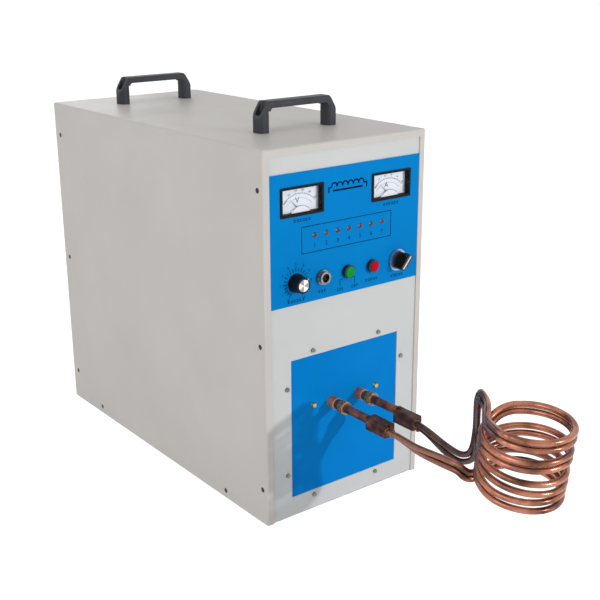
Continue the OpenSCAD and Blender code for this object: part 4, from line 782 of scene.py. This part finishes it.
def wound(turn):
    """The middle between the two tubes at a number of turns from the top."""
    angle = math.radians(270 + 360 * turn)
    radius = top_radius + (low_radius - top_radius) * turn / 4
    return (coil_top - coil_axis * coil_fall * lookup(turn, fall_shares)
            + radius * (math.cos(angle) * coil_across + math.sin(angle) * coil_forth))


def lead_point(row):
    """A row holds shares across, along and up, the direction between the tubes, and their pitch."""
    across, along, up, direction, pitch = row
    place = Vector((across * terminal_x,
                    front_face - block_reach - along * (coil_reach - block_reach),
                    terminal_z + up * coil_rise))
    return place, Vector(direction).normalized() * pitch * tube_diameter


route = [lead_point(row) for row in left_lead]
for i in range(round((coil_turns - coil_start) * turn_steps) + 1):
    turn = coil_turns - i / turn_steps
    route.append((wound(turn), coil_axis * lookup(turn, spread_shares) * tube_diameter))
route += [lead_point(row) for row in right_lead]


def blend(a, b, c, d, t):
    """A smooth curve through b and c, with a before and d after, at share t of the way."""
    return (2 * b + (c - a) * t + (2 * a - 5 * b + 4 * c - d) * t * t
            + (3 * b - a - 3 * c + d) * t ** 3) / 2


middle = []
for i in range(len(route) - 1):
    around = [route[max(i - 1, 0)], route[i], route[i + 1], route[min(i + 2, len(route) - 1)]]
    steps = 8 if i < 7 or i > len(route) - 15 else 4
    for k in range(steps):
        middle.append(tuple(blend(*[p[j] for p in around], k / steps) for j in (0, 1)))
middle.append(route[-1])
copper_stops = ((0.3, tone(82, 53, 43)), (0.4, tone(128, 82, 65)), (0.5, tone(166, 108, 86)),
                (0.6, tone(188, 126, 102)), (0.67, tone(148, 97, 79)), (0.74, purple),
                (0.82, green_stain))
coil_copper = stained_copper("coil_copper", copper_stops, 28, (0.17, 0.34),
                             ((-0.006, 0.012, 0.5), (-0.528, -0.505, 0.0),
                              ((0.35, soot_brown), (0.5, tone(88, 66, 62)), (0.65, soot_grey))))
for name, side in (("coil_tube_upper", 0.5), ("coil_tube_lower", -0.5)):
    bpy.ops.curve.primitive_nurbs_path_add()
    tube = bpy.context.object
    tube.name = name + "_drawn"
    line = tube.data
    line.splines.clear()
    spline = line.splines.new("POLY")
    spline.points.add(len(middle) - 1)
    for i, (point, offset) in enumerate(middle):
        heading = (middle[min(i + 1, len(middle) - 1)][0] - middle[max(i - 1, 0)][0]).normalized()
        square = (offset - heading * offset.dot(heading)).normalized() * offset.length
        spline.points[i].co = ((point + side * square) * MM).to_4d()
    line.dimensions = "3D"
    line.bevel_depth = tube_diameter / 2 * MM
    line.bevel_resolution = 6
    line.use_fill_caps = True
    bpy.ops.object.select_all(action="DESELECT")
    tube.select_set(True)
    bpy.context.view_layer.objects.active = tube
    bpy.ops.object.convert(target="MESH")
    bpy.ops.object.shade_smooth_by_angle(angle=math.radians(50))
    put_on(tube, coil_copper, "cabinet")
    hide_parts(name)


# Brazing beads: rings of filler where tubes and pipes enter the blocks, uneven as they set.
# Each ring is one torus, pulled in and out three times round.
random.seed(7)
beads = []
bead_places = []
for point, offset in (middle[0], middle[-1]):
    for side in (0.5, -0.5):
        bead_places.append((point + side * offset, tube_diameter / 2 + 0.35, 1.1))
pipe_end = 38.0
for x in (-terminal_x, terminal_x):
    bead_places.append((Vector((x, front_face - block_reach + pipe_end, terminal_z)), 6.3, 1.3))
for place, ring, wall in bead_places:
    bpy.ops.object.select_all(action="DESELECT")
    bpy.ops.mesh.primitive_torus_add(location=place * MM, rotation=(math.radians(90), 0, 0),
                                     major_radius=ring * MM, minor_radius=wall * MM,
                                     major_segments=40, minor_segments=12)
    bead = bpy.context.object
    for vertex in bead.data.vertices:
        push = 1 + 0.12 * math.sin(3 * math.atan2(vertex.co.y, vertex.co.x) + random.random())
        vertex.co = vertex.co * push
    bpy.ops.object.transform_apply(location=True, rotation=True, scale=True)
    bpy.ops.object.shade_smooth()
    beads.append(bead)
bead_metal = stained_copper("brazing_filler", ((0.3, soot_brown), (0.55, tone(128, 96, 70)),
                                               (0.75, tone(168, 128, 92))), 200, (0.4, 0.65))
put_on(join(beads, "brazing_beads"), bead_metal, "cabinet")


# Back of the machine: a square fan behind its wire guard, the circuit breaker, the hose spigots,
# the cable gland and the earth stud.
fan_black = moulded("fan_moulding", tone(38, 39, 42), tone(28, 29, 32), (0.4, 0.55))
finish_nodes(fan_black, "fan_housing", "fan_rotor", "cable_gland")
white_moulding = moulded("pale_moulding", tone(226, 226, 220), tone(216, 216, 210), (0.35, 0.5))
finish_nodes(white_moulding, "breaker", "resonance_capacitors")


# Inside: the output transformer, the capacitors, the power modules on their heat sink, the
# control board and its transformer, and the water hoses.
ferrite = moulded("ferrite", tone(62, 62, 66), tone(48, 48, 52), (0.5, 0.7), 700)
finish_nodes(ferrite, "transformer_core", "control_transformer")
aluminium = plated_metal("extruded_aluminium", tone(206, 209, 212), tone(180, 184, 188),
                         (0.3, 0.45), 120, (1, 0.1, 1))
finish_nodes(aluminium, "heat_sink")
finish_nodes(meter_black, "power_modules")
finish_nodes(glossy("blue_sleeve", tone(70, 118, 170), tone(58, 104, 156)), "filter_capacitors")
varnished_board = moulded("varnished_board", tone(38, 116, 70), tone(28, 100, 58), (0.25, 0.4))
finish_nodes(varnished_board, "control_board")
blue_hose = moulded("blue_hose", tone(58, 102, 170), tone(48, 90, 154), (0.45, 0.6))
finish_nodes(blue_hose, "water_hoses")
